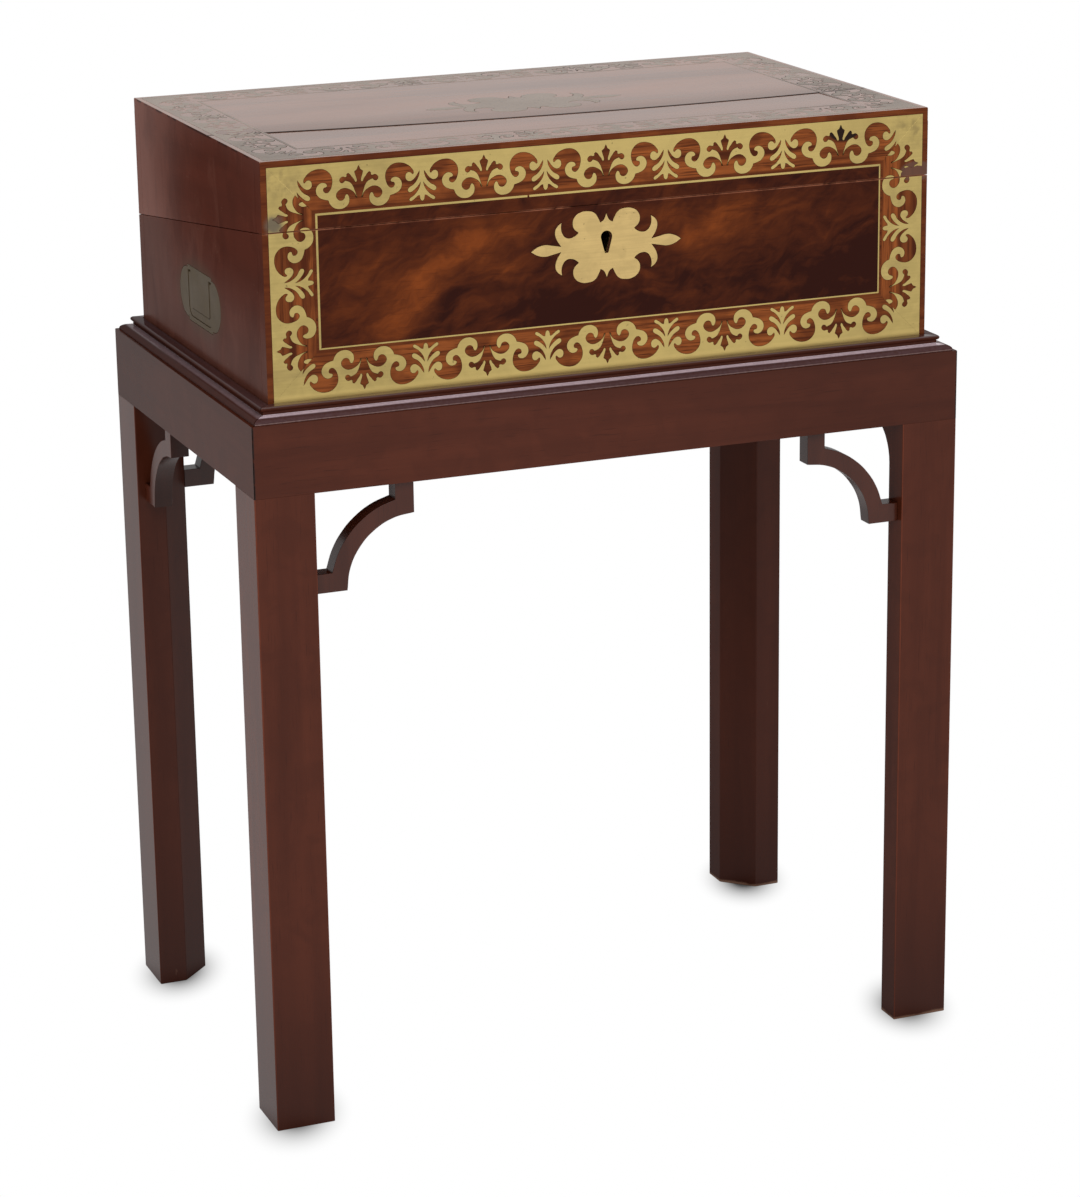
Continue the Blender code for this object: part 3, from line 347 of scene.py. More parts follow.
class Finish(Nodes):
    """A material and the nodes behind its shader."""

    def __init__(self, name, roughness=0.5, metallic=0.0, specular=0.0, coat=0.0, coat_roughness=0.2):
        self.material = bpy.data.materials.new(name)
        self.material.use_nodes = True
        super().__init__(self.material.node_tree)
        self.shader = self.tree.nodes["Principled BSDF"]
        self.set("Roughness", roughness)
        self.set("Metallic", metallic)
        self.set("Specular IOR Level", specular)
        self.set("Coat Weight", coat)
        self.set("Coat Roughness", coat_roughness)
        self.place = self.node("ShaderNodeTexCoord", output="Object")

    def set(self, name, value):
        """Link or set one of the shader's sockets."""
        self.feed(self.shader.inputs[name], value)

    def axes(self, vector=None):
        """The three parts of a place."""
        first = self.node("ShaderNodeSeparateXYZ", {}, {0: vector or self.place})
        return [Wire(self, socket) for socket in first.socket.node.outputs]

    def turned(self, along):
        """Object coordinates turned so that the grain runs along their X."""
        turns = {"X": (0.0, 0.0, 0.0), "Y": (0.0, 0.0, -math.pi / 2), "Z": (0.0, math.pi / 2, 0.0)}
        return self.node("ShaderNodeMapping", {}, {"Vector": self.place, "Rotation": turns[along]})

    def leaning(self, vector, degrees):
        """A place turned in the plane of the front."""
        turn = (0.0, math.radians(degrees), 0.0)
        return self.node("ShaderNodeMapping", {}, {"Vector": vector, "Rotation": turn})

    def vector(self, operation, first, second):
        """A Vector Math node on two places."""
        return self.node("ShaderNodeVectorMath", {"operation": operation}, {0: first, 1: second})

    def shaken(self, scale, amount):
        """Places pushed about by noise, so that drawn shapes wander."""
        sockets = {"Vector": self.place, "Scale": scale, "Detail": 3.0}
        cloud = self.node("ShaderNodeTexNoise", {}, sockets, "Color")
        middled = self.vector("SUBTRACT", cloud, (0.5, 0.5, 0.5))
        return self.vector("ADD", self.place, self.vector("MULTIPLY", middled, (amount, amount, amount)))

    def noise(self, scale, detail=3.0, distortion=0.0, crisp=0.5, vector=None):
        """Fractal noise from 0 to 1, with one scale or a scale for each axis."""
        vector = vector or self.place
        if isinstance(scale, tuple):
            vector = self.vector("MULTIPLY", vector, scale)
            scale = 1.0
        sockets = {
            "Vector": vector,
            "Scale": scale,
            "Detail": detail,
            "Distortion": distortion,
            "Roughness": crisp,
        }
        return self.node("ShaderNodeTexNoise", {}, sockets)

    def size_of(self, value):
        """A value without its sign."""
        return self.node("ShaderNodeMath", {"operation": "ABSOLUTE"}, {0: value})

    def band(self, value, low, high, soft):
        """1 between two values, 0 outside them."""
        return self.step(value, low - soft, low) * self.fall(value, high, high + soft)

    def step(self, value, low, high):
        """0 below one value and 1 above another, smooth between."""
        sockets = {"Value": value, "From Min": low, "From Max": high}
        return self.node("ShaderNodeMapRange", {"interpolation_type": "SMOOTHSTEP"}, sockets)

    def fall(self, value, low, high):
        """1 below one value and 0 above another, smooth between."""
        return 1.0 - self.step(value, low, high)

    def spot(self, place, reach, turn=(0.0, 0.0, 0.0), vector=None):
        """A soft spot, 1 in the middle and 0 outside its reach."""
        sockets = {"Vector": vector or self.place, "Location": place, "Rotation": turn, "Scale": reach}
        inside = self.node("ShaderNodeMapping", {"vector_type": "TEXTURE"}, sockets)
        return self.node("ShaderNodeTexGradient", {"gradient_type": "SPHERICAL"}, {"Vector": inside}, 1)

    def mix(self, share, first, second):
        """Two colours mixed."""
        settings = {"data_type": "RGBA", "clamp_factor": True}
        return self.node("ShaderNodeMix", settings, {0: share, 6: first, 7: second}, 2)

    def over(self, tone, colour, share, value, low, high):
        """A share of one colour laid over another as a value rises."""
        return self.mix(self.step(value, low, high) * share, tone, colour)

    def ramp(self, value, stops):
        """A colour for each value."""
        return self.node("ShaderNodeValToRGB", {"stops": stops}, {"Fac": value})

    def bump(self, height, distance, strength=1.0):
        """Fine relief under the light."""
        sockets = {"Height": height, "Distance": distance, "Strength": strength}
        self.set("Normal", self.node("ShaderNodeBump", {}, sockets))


def fill_ramp(ramp, stops):
    """Set a colour ramp's stops."""
    first = ramp.elements[0]
    last = ramp.elements[1]
    first.position, last.position = stops[0][0], stops[-1][0]
    first.color, last.color = (*stops[0][1], 1.0), (*stops[-1][1], 1.0)
    for place, colour in stops[1:-1]:
        ramp.elements.new(place).color = (*colour, 1.0)


def blend(first, second, share):
    """A colour between two."""
    return tuple(a + (b - a) * share for a, b in zip(first, second))


def toned(colour, share):
    """A colour with its light multiplied."""
    return tuple(part * share for part in colour)


def tones(colour, *stops):
    """A ramp of one colour: the place of each stop and how much its light is multiplied."""
    return tuple((place, toned(colour, share)) for place, share in stops)


# Finishes

def once(pattern, **settings):
    """Have a finish made only while no material has its name.

    The name is a pattern filled with what the finish is asked for.
    """
    def wrap(make):
        def kept(*words):
            name = pattern.format(*words).lower()
            if name not in bpy.data.materials:
                make(Finish(name, **settings), *words)
            return bpy.data.materials[name]
        return kept
    return wrap


def grain(finish, along, broad=70.0, lengthwise=5.0):
    """Streaks of heartwood and the pores between, both from 0 to 1, in the grain's direction."""
    turned = finish.turned(along)
    streaks = finish.noise((lengthwise, broad, broad), 5.0, 0.5, vector=turned)
    pores = finish.noise((45.0, 1500.0, 1500.0), 2.0, vector=turned)
    return streaks, pores


def wood_surface(finish, tone, pores, rough, spread):
    """Colour, and roughness and relief that follow the pores."""
    finish.set("Base Color", tone)
    cloud = finish.noise(22.0, 4.0)
    finish.set("Roughness", cloud * spread + pores * spread + (rough - spread))
    finish.bump(pores, 0.00006, 0.6)


# How polished and how light each part of the stand is. The light share paints light and shade by face: the
# ends are painted lighter, the braces darker and their sawn edges darker still, as painted shade; the rubbed
# edges are lighter with wear.
STAND_PARTS = {
    "front": (0.3, 1.1),
    "brace": (0.62, 0.8),
    "end": (0.47, 1.35),
    "rail_end": (0.26, 1.0),
    "chamfer": (0.2, 1.0),
    "inner_end": (0.14, 1.1),
    "edge": (0.25, 1.9),
    "brace_edge": (0.5, 0.5),
}


def stand_tone(finish, along, share):
    """Colour and pores of dark waxed mahogany, darkest at the feet and painted darker towards the back as
    shade.
    """
    dark, light = toned(colours().stand_dark, share), toned(colours().stand_light, share)
    streaks, pores = grain(finish, along, 60.0, 3.5)
    stops = (
        (0.25, blend(dark, light, 0.2)),
        (0.5, blend(dark, light, 0.52)),
        (0.8, blend(dark, light, 0.85)),
    )
    tone = finish.ramp(streaks, stops)
    mottle = finish.noise(46.0, 5.0, 0.6)
    tone = finish.over(tone, blend(dark, light, 0.3), 0.5, mottle, 0.42, 0.66)
    tone = finish.over(tone, toned(dark, 0.6), 0.45, pores, 0.62, 0.75)
    across, depth, height = finish.axes()
    # Painted shade: darker towards the back, where the back legs get less light.
    tone = finish.over(tone, toned(dark, 0.9), 0.45, depth, 0.0, 0.16)
    foot = finish.fall(height + mottle * 0.05, 0.015, 0.185)
    tone = finish.mix(foot * 0.75, tone, toned(dark, 0.75))
    worn = finish.fall(height + mottle * 0.004, 0.0025, 0.005) * finish.step(across, 0.15, 0.2)
    tone = finish.mix(worn * 0.6, tone, (0.24, 0.135, 0.09))
    specks = finish.noise((60.0, 240.0, 240.0), 2.0, vector=finish.turned(along))
    tone = finish.over(tone, (0.13, 0.062, 0.04), 0.3, specks, 0.76, 0.82)
    return tone, pores


@once("stand_mahogany_{1}_{0}", coat_roughness=0.25)
def stand_wood(finish, along, part):
    """Dark waxed mahogany of the legs, rails and braces, with black dirt in the rails' corner joints."""
    # The share makes the part lighter or darker: painted light and shade, and wear on the rubbed edges.
    polish, share = STAND_PARTS[part]
    finish.set("Coat Weight", polish)
    tone, pores = stand_tone(finish, along, share)
    across, depth, height = finish.axes()
    end = finish.step(finish.size_of(across), RAIL_HIGH.x - 0.0012, RAIL_HIGH.x - 0.0004)
    side = finish.step(finish.size_of(depth), -RAIL_LOW.y - 0.0012, -RAIL_LOW.y - 0.0004)
    ragged = finish.step(finish.noise(160.0, 3.0), 0.36, 0.52)
    rail = finish.step(height, RAIL_LOW.z - WELD, RAIL_LOW.z)
    tone = finish.mix(rail * finish.step(across, 0.02, 0.2) * 0.35, tone, toned(colours().stand_dark, 0.9))
    joint = end * side * ragged * rail
    tone = finish.mix(joint * 0.85, tone, (0.009, 0.006, 0.005))
    wood_surface(finish, tone, pores, 0.5, 0.12)


@once("moulding_mahogany_{1:.1f}_{0}", coat_roughness=0.14)
def moulding_wood(finish, along, gleam):
    """The moulding, dark in its hollows, with a painted highlight along its ridge and on its lip, a painted
    sheen over its ovolo and a pale fillet line of wear and painted highlight.
    """
    finish.set("Coat IOR", 1.9)
    tone, pores = stand_tone(finish, along, 0.8)
    _, _, height = finish.axes()
    sheen_streaks = finish.noise((14.0, 260.0, 260.0), 4.0, vector=finish.turned(along))
    grains = finish.noise(420.0, 3.0)
    # Painted sheen of lilac grey over the ovolo, a painted highlight along its ridge, and a pale fillet line
    # that is partly wear and partly painted highlight.
    ovolo_sheen = finish.band(height, RAIL_HIGH.z + 0.001, LIP_TOP - 0.0058, 0.0002) * gleam
    tone = finish.mix(ovolo_sheen * (grains * 0.6 + 0.1), tone, (0.085, 0.052, 0.060))
    ridge_highlight = ovolo_sheen * finish.step(height + sheen_streaks * 0.0004, LIP_TOP - 0.0066, LIP_TOP - 0.0060)
    tone = finish.mix(ridge_highlight * (grains * 0.7 + 0.55), tone, (0.62, 0.48, 0.53))
    fillet_wear_and_highlight = finish.fall(height, RAIL_HIGH.z + 0.0006, RAIL_HIGH.z + 0.0011) * gleam
    tone = finish.mix(fillet_wear_and_highlight * (grains * 0.7 + 0.2), tone, (0.34, 0.23, 0.22))
    # Painted highlight along the lip's top.
    lip_highlight = finish.step(height, LIP_TOP - 0.0012, LIP_TOP - 0.0003)
    tone = finish.mix(lip_highlight * (sheen_streaks * 0.45), tone, (0.105, 0.072, 0.082))
    finish.set("Coat Weight", finish.larger(ridge_highlight, lip_highlight * 0.5 * gleam) + 0.07)
    wood_surface(finish, tone, pores, 0.5, 0.12)


@once("box_mahogany_{0}", coat_roughness=0.24)
def box_wood(finish, along):
    """Polished mahogany of the box's ends and back, red near the lid's front and greyer elsewhere with dulled
    polish and painted sheen, painted lighter on the lid's part and darker on the case's.
    """
    red, faded_and_sheen = colours().side_red, colours().side_faded_and_sheen
    streaks, pores = grain(finish, along, 34.0, 4.0)
    tone = finish.ramp(streaks, tones(red, (0.3, 0.80), (0.55, 1.0), (0.8, 1.3)))
    wandering = finish.shaken(11.0, 0.05)
    pan = middle_of("left_handle_plate")
    fresh, grime = 0.0, 0.0
    for side in (-1.0, 1.0):
        place = (side * HALF_WIDTH, FRONT + 0.085, SEAM + 0.008)
        fresh = finish.spot(place, (0.1, 0.26, 0.13), vector=wandering) + fresh
        grime = finish.spot((side * HALF_WIDTH, pan.y, pan.z), (0.05, 0.068, 0.034)) + grime
    rubbed = finish.noise((26.0, 30.0, 9.0), 5.0, 0.4)
    dull = finish.fall(fresh, 0.0, 0.75) * (rubbed * 0.7 + 0.6)
    _, depth, height = finish.axes()
    above = finish.step(height + (depth - FRONT) * SEAM_SLOPE, SEAM - 0.001, SEAM + 0.001)
    # Dulled polish and painted sheen: the grey is painted lighter above the parting and darker below it.
    faint = finish.mix(streaks, toned(faded_and_sheen, 0.68), toned(faded_and_sheen, 0.98))
    tone = finish.mix(dull * 0.9, tone, finish.mix(above, faint, toned(faded_and_sheen, 1.7)))
    clouds = finish.noise((30.0, 30.0, 20.0), 5.0, 0.5)
    tone = finish.over(tone, toned(red, 0.62), 0.4, clouds, 0.48, 0.68)
    upright = finish.noise((90.0, 90.0, 13.0), 5.0, 0.6, 0.6)
    tone = finish.over(tone, toned(red, 0.55), 0.16, upright, 0.50, 0.70)
    pale = finish.noise((34.0, 34.0, 15.0), 5.0, 0.9, 0.6)
    tone = finish.over(tone, toned(faded_and_sheen, 1.2), 0.35, pale, 0.50, 0.72)
    tone = finish.over(tone, (0.068, 0.046, 0.028), 0.6, grime, 0.0, 0.5)
    scuffs = finish.noise((160.0, 75.0, 330.0), 3.0)
    tone = finish.over(tone, (0.19, 0.105, 0.075), 0.3, scuffs, 0.70, 0.80)
    tone = finish.over(tone, toned(red, 0.45), 0.35, pores, 0.62, 0.76)
    edge = finish.step(height, TOP - 0.0022, TOP - 0.0006)
    edge = edge * finish.step(finish.noise(75.0, 4.0), 0.44, 0.58)
    tone = finish.mix(edge * 0.8, tone, toned(red, 0.3))
    finish.set("Coat Weight", dull * (above * 0.08 + 0.12) + 0.03)
    wood_surface(finish, tone, pores, 0.46, 0.12)


@once("border_wood_{0}", coat=0.11, coat_roughness=0.2)
def border_wood(finish, along):
    """Straight-grained red wood that the brass is let into."""
    streaks, pores = grain(finish, along, 190.0, 9.0)
    wood_surface(finish, border_tone(finish, streaks, pores), pores, 0.42, 0.1)


def border_tone(finish, streaks, pores):
    """The border wood's colour: darker palmettes, a dark outer edge and a black stopping in one palmette."""
    dark, light = colours().border_dark, colours().border_light
    stops = ((0.33, toned(dark, 0.8)), (0.48, blend(dark, light, 0.6)), (0.66, toned(light, 1.1)))
    tone = finish.ramp(streaks, stops)
    tone = finish.over(tone, toned(dark, 0.6), 0.75, pores, 0.54, 0.68)
    shade = finish.noise(36.0, 3.0)
    tone = finish.over(tone, toned(dark, 0.9), 0.6, shade, 0.46, 0.64)
    across, _, height = finish.axes()
    outside = finish.size_of(across)
    middle = finish.size_of(height - MID_HEIGHT)
    wave = finish.node("ShaderNodeMath", {"operation": "COSINE"}, {0: across * (math.pi / sizes().fret_cell)})
    leaves = finish.step(wave, 0.55, 0.8)
    leaves = leaves * finish.step(middle, HALF_HEIGHT - 0.021, HALF_HEIGHT - 0.018)
    leaves = leaves * finish.fall(outside, 0.196, 0.2)
    column = finish.step(outside, HALF_WIDTH - 0.024, HALF_WIDTH - 0.02)
    column = column * finish.fall(middle, 0.060, 0.066)
    shaded = finish.larger(leaves, column)
    tone = finish.mix(shaded * 0.55, tone, toned(dark, 0.75))
    end = finish.step(outside, HALF_WIDTH - 0.0046, HALF_WIDTH - 0.0044)
    edge = finish.step(middle, HALF_HEIGHT - 0.0046, HALF_HEIGHT - 0.0044)
    rim = finish.larger(end, edge)
    tone = finish.mix(rim * 0.62, tone, toned(dark, 1.05))
    inside = finish.larger(outside - HALF_WIDTH, middle - HALF_HEIGHT) + sizes().line_inset
    beside = finish.band(inside, 0.0002, 0.0018, 0.0012) * (streaks * 0.6 + 0.3)
    tone = finish.mix(beside, tone, toned(dark, 0.75))
    filler = finish.spot(*BROWN_FILLING)
    tone = finish.over(tone, (0.105, 0.055, 0.040), 0.8, filler, 0.0, 0.25)
    tone = finish.mix(patched(finish) * 0.8, tone, (0.115, 0.085, 0.060))
    stopping = finish.spot(*BLACK_STOPPING)
    return finish.over(tone, (0.010, 0.007, 0.006), 0.92, stopping, 0.0, 0.2)


@once("front_veneer", coat=0.11, coat_roughness=0.16)
def front_veneer(finish):
    """Flame-figured panel inside the brass line, with the border wood outside it."""
    dark, flame = colours().panel_dark, colours().panel_flame
    wandering = finish.shaken(34.0, 0.022)
    light = 0.0
    for (left, down), half_length, half_width, tilt, strength in FLAMES:
        place = (left * MM - HALF_WIDTH, FRONT, TOP - down * MM)
        reach = (half_length * MM, 1.0, half_width * MM)
        turn = (0.0, -math.radians(tilt), 0.0)
        light = finish.spot(place, reach, turn, wandering) * strength + light
    leaning = finish.leaning(wandering, 35)
    feather = finish.noise((22.0, 1.0, 95.0), 6.0, 0.3, 0.62, vector=leaning)
    clouds = finish.noise((24.0, 1.0, 44.0), 5.0, 1.4, 0.55, vector=leaning)
    flecks = finish.noise((62.0, 1.0, 170.0), 5.0, 0.6, 0.6, vector=leaning)
    crossing = finish.leaning(wandering, 10)
    knots = finish.noise((17.0, 1.0, 52.0), 4.0, 2.2, 0.55, vector=crossing)
    light = light * (feather * 1.1 + 0.38) + (clouds - 0.5) * 0.7
    light = light + (knots - 0.5) * 0.75 + (flecks - 0.5) * 0.42
    across, _, height = finish.axes()
    foot = finish.fall(height, BOTTOM + 0.045, BOTTOM + 0.085) * finish.step(across, -0.13, -0.04)
    light = light + 0.22 - finish.step(across, 0.07, 0.2) * 0.1 - foot * 0.12
    stops = (
        (0.0, toned(dark, 0.8)),
        (0.28, blend(dark, flame, 0.16)),
        (0.58, blend(dark, flame, 0.42)),
        (1.0, tuple(flame)),
    )
    panel = finish.ramp(light, stops)
    streaks, pores = grain(finish, "X", 190.0, 9.0)
    panel = finish.over(panel, toned(dark, 0.6), 0.3, pores, 0.6, 0.74)
    inset = sizes().line_inset + sizes().line_width / 2
    outside = finish.size_of(across)
    beyond_end = finish.step(outside, HALF_WIDTH - inset - TENTH, HALF_WIDTH - inset)
    middle = finish.size_of(height - MID_HEIGHT)
    beyond_edge = finish.step(middle, HALF_HEIGHT - inset - TENTH, HALF_HEIGHT - inset)
    border = finish.larger(beyond_end, beyond_edge)
    tone = finish.mix(border, panel, border_tone(finish, streaks, pores))
    # A pale line along the parting: wear, and a painted highlight on the rounded edges.
    parting = finish.size_of(height - SEAM)
    worn = finish.fall(parting, 0.0004, 0.0009) * finish.step(clouds, 0.3, 0.6)
    tone = finish.mix(worn * 0.8, tone, (0.26, 0.095, 0.052))
    wood_surface(finish, tone, pores, 0.36, 0.08)


def behind_crack(finish):
    """How far a place on the lid's top lies behind the shrinkage crack."""
    across, depth, _ = finish.axes()
    share = across * (1.0 / (HALF_WIDTH - sizes().line_inset))
    return depth - FRONT - CRACK[0] - share * CRACK[1] - share * share * CRACK[2]


def top_tone(finish, along):
    """Colour of the lid's top, with painted shade in the crack and a band behind it that is duller and
    painted darker as shade.
    """
    wood = colours().top_wood
    streaks, pores = grain(finish, along, 24.0, 2.5)
    tone = finish.ramp(streaks, tones(wood, (0.25, 0.7), (0.5, 1.0), (0.8, 1.25)))
    clouds = finish.noise((7.0, 14.0, 1.0), 4.0, 0.4)
    tone = finish.over(tone, toned(wood, 0.6), 0.4, clouds, 0.42, 0.66)
    tone = finish.over(tone, toned(wood, 0.25), 0.4, pores, 0.6, 0.76)
    behind = behind_crack(finish)
    # Painted shade: a darker band behind the crack, where the polish is also duller, and a dark line in the
    # crack itself.
    band = finish.step(behind, 0.0, 0.0006) * finish.fall(behind, 0.004, 0.055)
    tone = finish.mix(band * 0.45, tone, toned(wood, 0.4))
    crack_shade = finish.band(behind, -0.0006, 0.0018, 0.0005)
    return finish.mix(crack_shade * 0.9, tone, toned(wood, 0.08)), band + crack_shade * 4.0, clouds, pores


@once("lid_top_veneer_{0}", coat_roughness=0.17)
def top_veneer(finish, along):
    """Faded, well polished mahogany that mirrors the light at a low angle."""
    tone, band, clouds, pores = top_tone(finish, along)
    finish.set("Coat Weight", clouds * 0.16 + 0.59 - band * 0.10)
    wood_surface(finish, tone, pores, 0.42, 0.12)


def lifted_brass_shadow(finish, places):
    """1 where the top's brass has lifted and its joints stand open, for the painted shadow there."""
    loose = 0.0
    for across, depth, reach in places:
        near = finish.spot((across, depth, TOP), (reach, reach, reach))
        loose = finish.step(near, 0.1, 0.5) + loose
    return loose


@once("top_brass", metallic=0.1, coat_roughness=0.2)
def top_brass(finish):
    """Brass of the lid's top under old polish, hardly brighter than the wood beside it."""
    metal = colours().top_metal
    bloom = finish.noise(30.0, 5.0, 0.6)
    hairs = finish.noise((60.0, 500.0, 500.0), 3.0)
    tone = finish.mix(bloom, toned(metal, 0.8), toned(metal, 1.2))
    specks = finish.noise(420.0, 3.0)
    tone = finish.over(tone, toned(metal, 0.2), 0.6, specks, 0.60, 0.72)
    loose = lifted_brass_shadow(finish, LIFTED[:2])
    # Painted shadow: the brass is darker where it has lifted.
    tone = finish.mix(loose * 0.35, tone, toned(metal, 0.3))
    finish.set("Base Color", tone)
    finish.set("Coat Weight", bloom * 0.2 + 0.48 - loose * 0.08)
    finish.set("Roughness", bloom * 0.2 + 0.4)
    finish.bump(hairs, 0.00003, 0.4)


@once("top_joint", coat_roughness=0.2)
def top_joint(finish):
    """Joints round the top's brass, open and dark in patches, mostly filled with polish, and painted darker
    as shadow where the brass has lifted.
    """
    wood = colours().top_wood
    patches = finish.noise(19.0, 3.0)
    share = finish.step(lifted_brass_shadow(finish, LIFTED) + finish.step(patches, 0.52, 0.64), 0.1, 0.9)
    finish.set("Base Color", finish.mix(share, wood, (0.020, 0.012, 0.009)))
    finish.set("Coat Weight", 0.6 - share * 0.52)
    finish.set("Roughness", patches * 0.2 + 0.4)


@once("glue_joint", roughness=0.6)
def glue_joint(finish):
    """Dark glue and dirt round the front's brass."""
    dirt = finish.noise(90.0, 3.0)
    finish.set("Base Color", finish.mix(dirt, (0.012, 0.004, 0.002), (0.045, 0.015, 0.006)))
    finish.set("Roughness", dirt * 0.2 + 0.5)
    finish.bump(dirt, 0.00004, 0.5)


@once("inner_wood_satin", coat=0.12, coat_roughness=0.35, specular=0.25)
def inner_wood(finish):
    """Plain satin wood of the fittings inside."""
    wood = colours().inner
    streaks, pores = grain(finish, "X", 60.0, 4.0)
    tone = finish.ramp(streaks, tones(wood, (0.25, 0.6), (0.55, 1.0), (0.8, 1.3)))
    tone = finish.over(tone, toned(wood, 0.35), 0.5, pores, 0.6, 0.74)
    stains = finish.noise(16.0, 5.0, 0.6)
    tone = finish.over(tone, toned(wood, 0.4), 0.5, stains, 0.60, 0.70)
    wood_surface(finish, tone, pores, 0.55, 0.12)


def patched(finish):
    """The grey filling beside the parting, at the left."""
    cloudy = finish.shaken(120.0, 0.008)
    return finish.step(finish.spot(*GREY_FILLING, vector=cloudy), 0.05, 0.75)


def old_brass(finish, colour, spread=0.35, rough=0.36, metal=1.0, brightened=0.0, stain=False):
    """Old brass with brown bloom, scratches and pits, brighter in the middle and along the bottom by a given
    share, and with stains if asked.
    """
    hairs = finish.noise((35.0, 700.0, 700.0), 3.0)
    cross = finish.noise((300.0, 60.0, 90.0), 2.0, vector=finish.shaken(12.0, 0.02))
    bloom = finish.noise(26.0, 5.0, 0.7)
    mottle = finish.noise(95.0, 4.0, 0.5)
    tone = finish.mix(hairs, toned(colour, 0.84), toned(colour, 1.16))
    tone = finish.over(tone, toned(colour, 0.76), 0.4, mottle, 0.40, 0.68)
    tone = finish.over(tone, blend(colour, colours().tarnish, metal), spread, bloom, 0.44, 0.76)
    tone = finish.over(tone, toned(colour, 1.5), 0.35, cross, 0.72, 0.80)
    across, _, height = finish.axes()
    middle = finish.fall(finish.size_of(across - 0.04), 0.08, 0.23)
    tone = finish.mix(middle * brightened, tone, toned(colour, 1.3))
    low = finish.fall(height, BOTTOM + INLAY_EDGE, BOTTOM + INLAY_EDGE + 0.006)
    tone = finish.mix(low * brightened, tone, toned(colour, 1.9))
    pits = finish.noise(330.0, 2.0)
    tone = finish.over(tone, toned(colours().tarnish, 0.4), 0.6, pits, 0.72, 0.78)
    if stain:
        speckle = finish.noise(160.0, 3.0)
        for side, start, end in SCRATCHES:
            corner = finish.spot((side * 0.240, FRONT, TOP - 0.015), (0.022, 0.02, 0.02))
            share = finish.step(corner, 0.0, 0.8) * finish.step(speckle, 0.38, 0.72)
            tone = finish.mix(share * 0.5, tone, colours().tarnish)
            mitre = finish.size_of(across * side - height - (ROW_REACH - TOP + INLAY_EDGE))
            scratch = finish.fall(mitre, 0.0001, 0.0005)
            scratch = scratch * finish.band(across * side, start, end, 0.002)
            tone = finish.mix(scratch * 0.6, tone, toned(colour, 1.5))
        tone = finish.mix(patched(finish) * 0.85, tone, (0.105, 0.088, 0.076))
    finish.set("Base Color", tone)
    finish.set("Metallic", metal)
    finish.set("Roughness", bloom * 0.22 + hairs * 0.12 + (rough - 0.17))
    finish.bump(hairs + mottle, 0.00003, 0.4)


@once("border_brass", specular=0.5)
def border_brass(finish):
    """Rubbed brass of the front border and lines."""
    old_brass(finish, colours().brass, brightened=0.45)


@once("lid_border_brass", specular=0.5)
def lid_brass(finish):
    """The lid's part of the front border, stained at its corners."""
    old_brass(finish, colours().brass, brightened=0.45, stain=True)


@once("plate_brass", specular=0.5)
def plate_brass(finish):
    """Brighter brass of the keyhole plate."""
    old_brass(finish, colours().brass_pale, 0.12, 0.38)


@once("handle_brass", specular=0.08)
def handle_brass(finish):
    """Olive-brown brass of the drop handles, never cleaned."""
    old_brass(finish, (0.073, 0.050, 0.026), 0.2, 0.58, 0.25)


@once("fitting_brass", specular=0.5)
def fitting_brass(finish):
    """Brass of the lock, hinges and caps inside."""
    old_brass(finish, toned(colours().brass, 0.9), 0.4, 0.34)


@once("filed_steel", metallic=1.0, specular=0.5)
def bolt_steel(finish):
    """Filed steel of the lock bolt."""
    lines = finish.noise((60.0, 900.0, 900.0), 2.0)
    rust = finish.noise(140.0, 4.0)
    tone = finish.mix(lines, (0.30, 0.30, 0.31), (0.48, 0.48, 0.49))
    tone = finish.over(tone, (0.16, 0.085, 0.05), 0.6, rust, 0.58, 0.7)
    finish.set("Base Color", tone)
    finish.set("Roughness", lines * 0.2 + rust * 0.25 + 0.15)
    finish.bump(lines, 0.00003, 0.5)


@once("writing_leather", specular=0.35)
def desk_leather(finish):
    """Worn green writing leather."""
    skin = colours().leather
    pebbles = finish.node("ShaderNodeTexVoronoi", {}, {"Vector": finish.place, "Scale": 900.0})
    wear = finish.noise((9.0, 14.0, 14.0), 5.0, 0.4)
    tone = finish.mix(wear, toned(skin, 0.7), toned(skin, 1.5))
    tone = finish.over(tone, (0.085, 0.085, 0.045), 0.5, wear, 0.56, 0.74)
    finish.set("Base Color", tone)
    finish.set("Roughness", wear * 0.25 + pebbles * 0.1 + 0.38)
    finish.bump(pebbles, 0.00012, 0.5)


@once("gilt_tooling", specular=0.5)
def gilt(finish):
    """Gold tooling on the leather."""
    old_brass(finish, (0.62, 0.42, 0.12), 0.35, 0.42)


@once("bottle_glass", specular=0.5)
def bottle_glass(finish):
    """Thick greenish bottle glass, dusty outside."""
    dust = finish.noise(90.0, 4.0)
    finish.set("Base Color", finish.mix(dust, (0.80, 0.90, 0.86), (0.90, 0.95, 0.93)))
    finish.set("Transmission Weight", 1.0)
    finish.set("Roughness", finish.step(dust, 0.45, 0.75) * 0.15 + 0.02)


# Modelling helpers

def only(*objects):
    """Select these objects alone, the first one active."""
    bpy.ops.object.select_all(action="DESELECT")
    for made in objects:
        made.select_set(True)
    bpy.context.view_layer.objects.active = objects[0]


@contextmanager
def editing(made, action="SELECT", kind="EDGE"):
    """Edit mode on one object, with all of it, nothing or what was picked before selected."""
    only(made)
    bpy.ops.object.mode_set(mode="EDIT")
    bpy.ops.mesh.select_mode(type=kind)
    if action:
        bpy.ops.mesh.select_all(action=action)
    yield
    bpy.ops.object.mode_set(mode="OBJECT")


def deselected(made, kind="EDGE"):
    """Nothing of an object selected, ready to pick points, edges or faces."""
    with editing(made, "DESELECT", kind):
        pass


def renamed(name):
    """The active object under its own name."""
    made = bpy.context.view_layer.objects.active
    made.name = name
    made.data.name = name
    return made


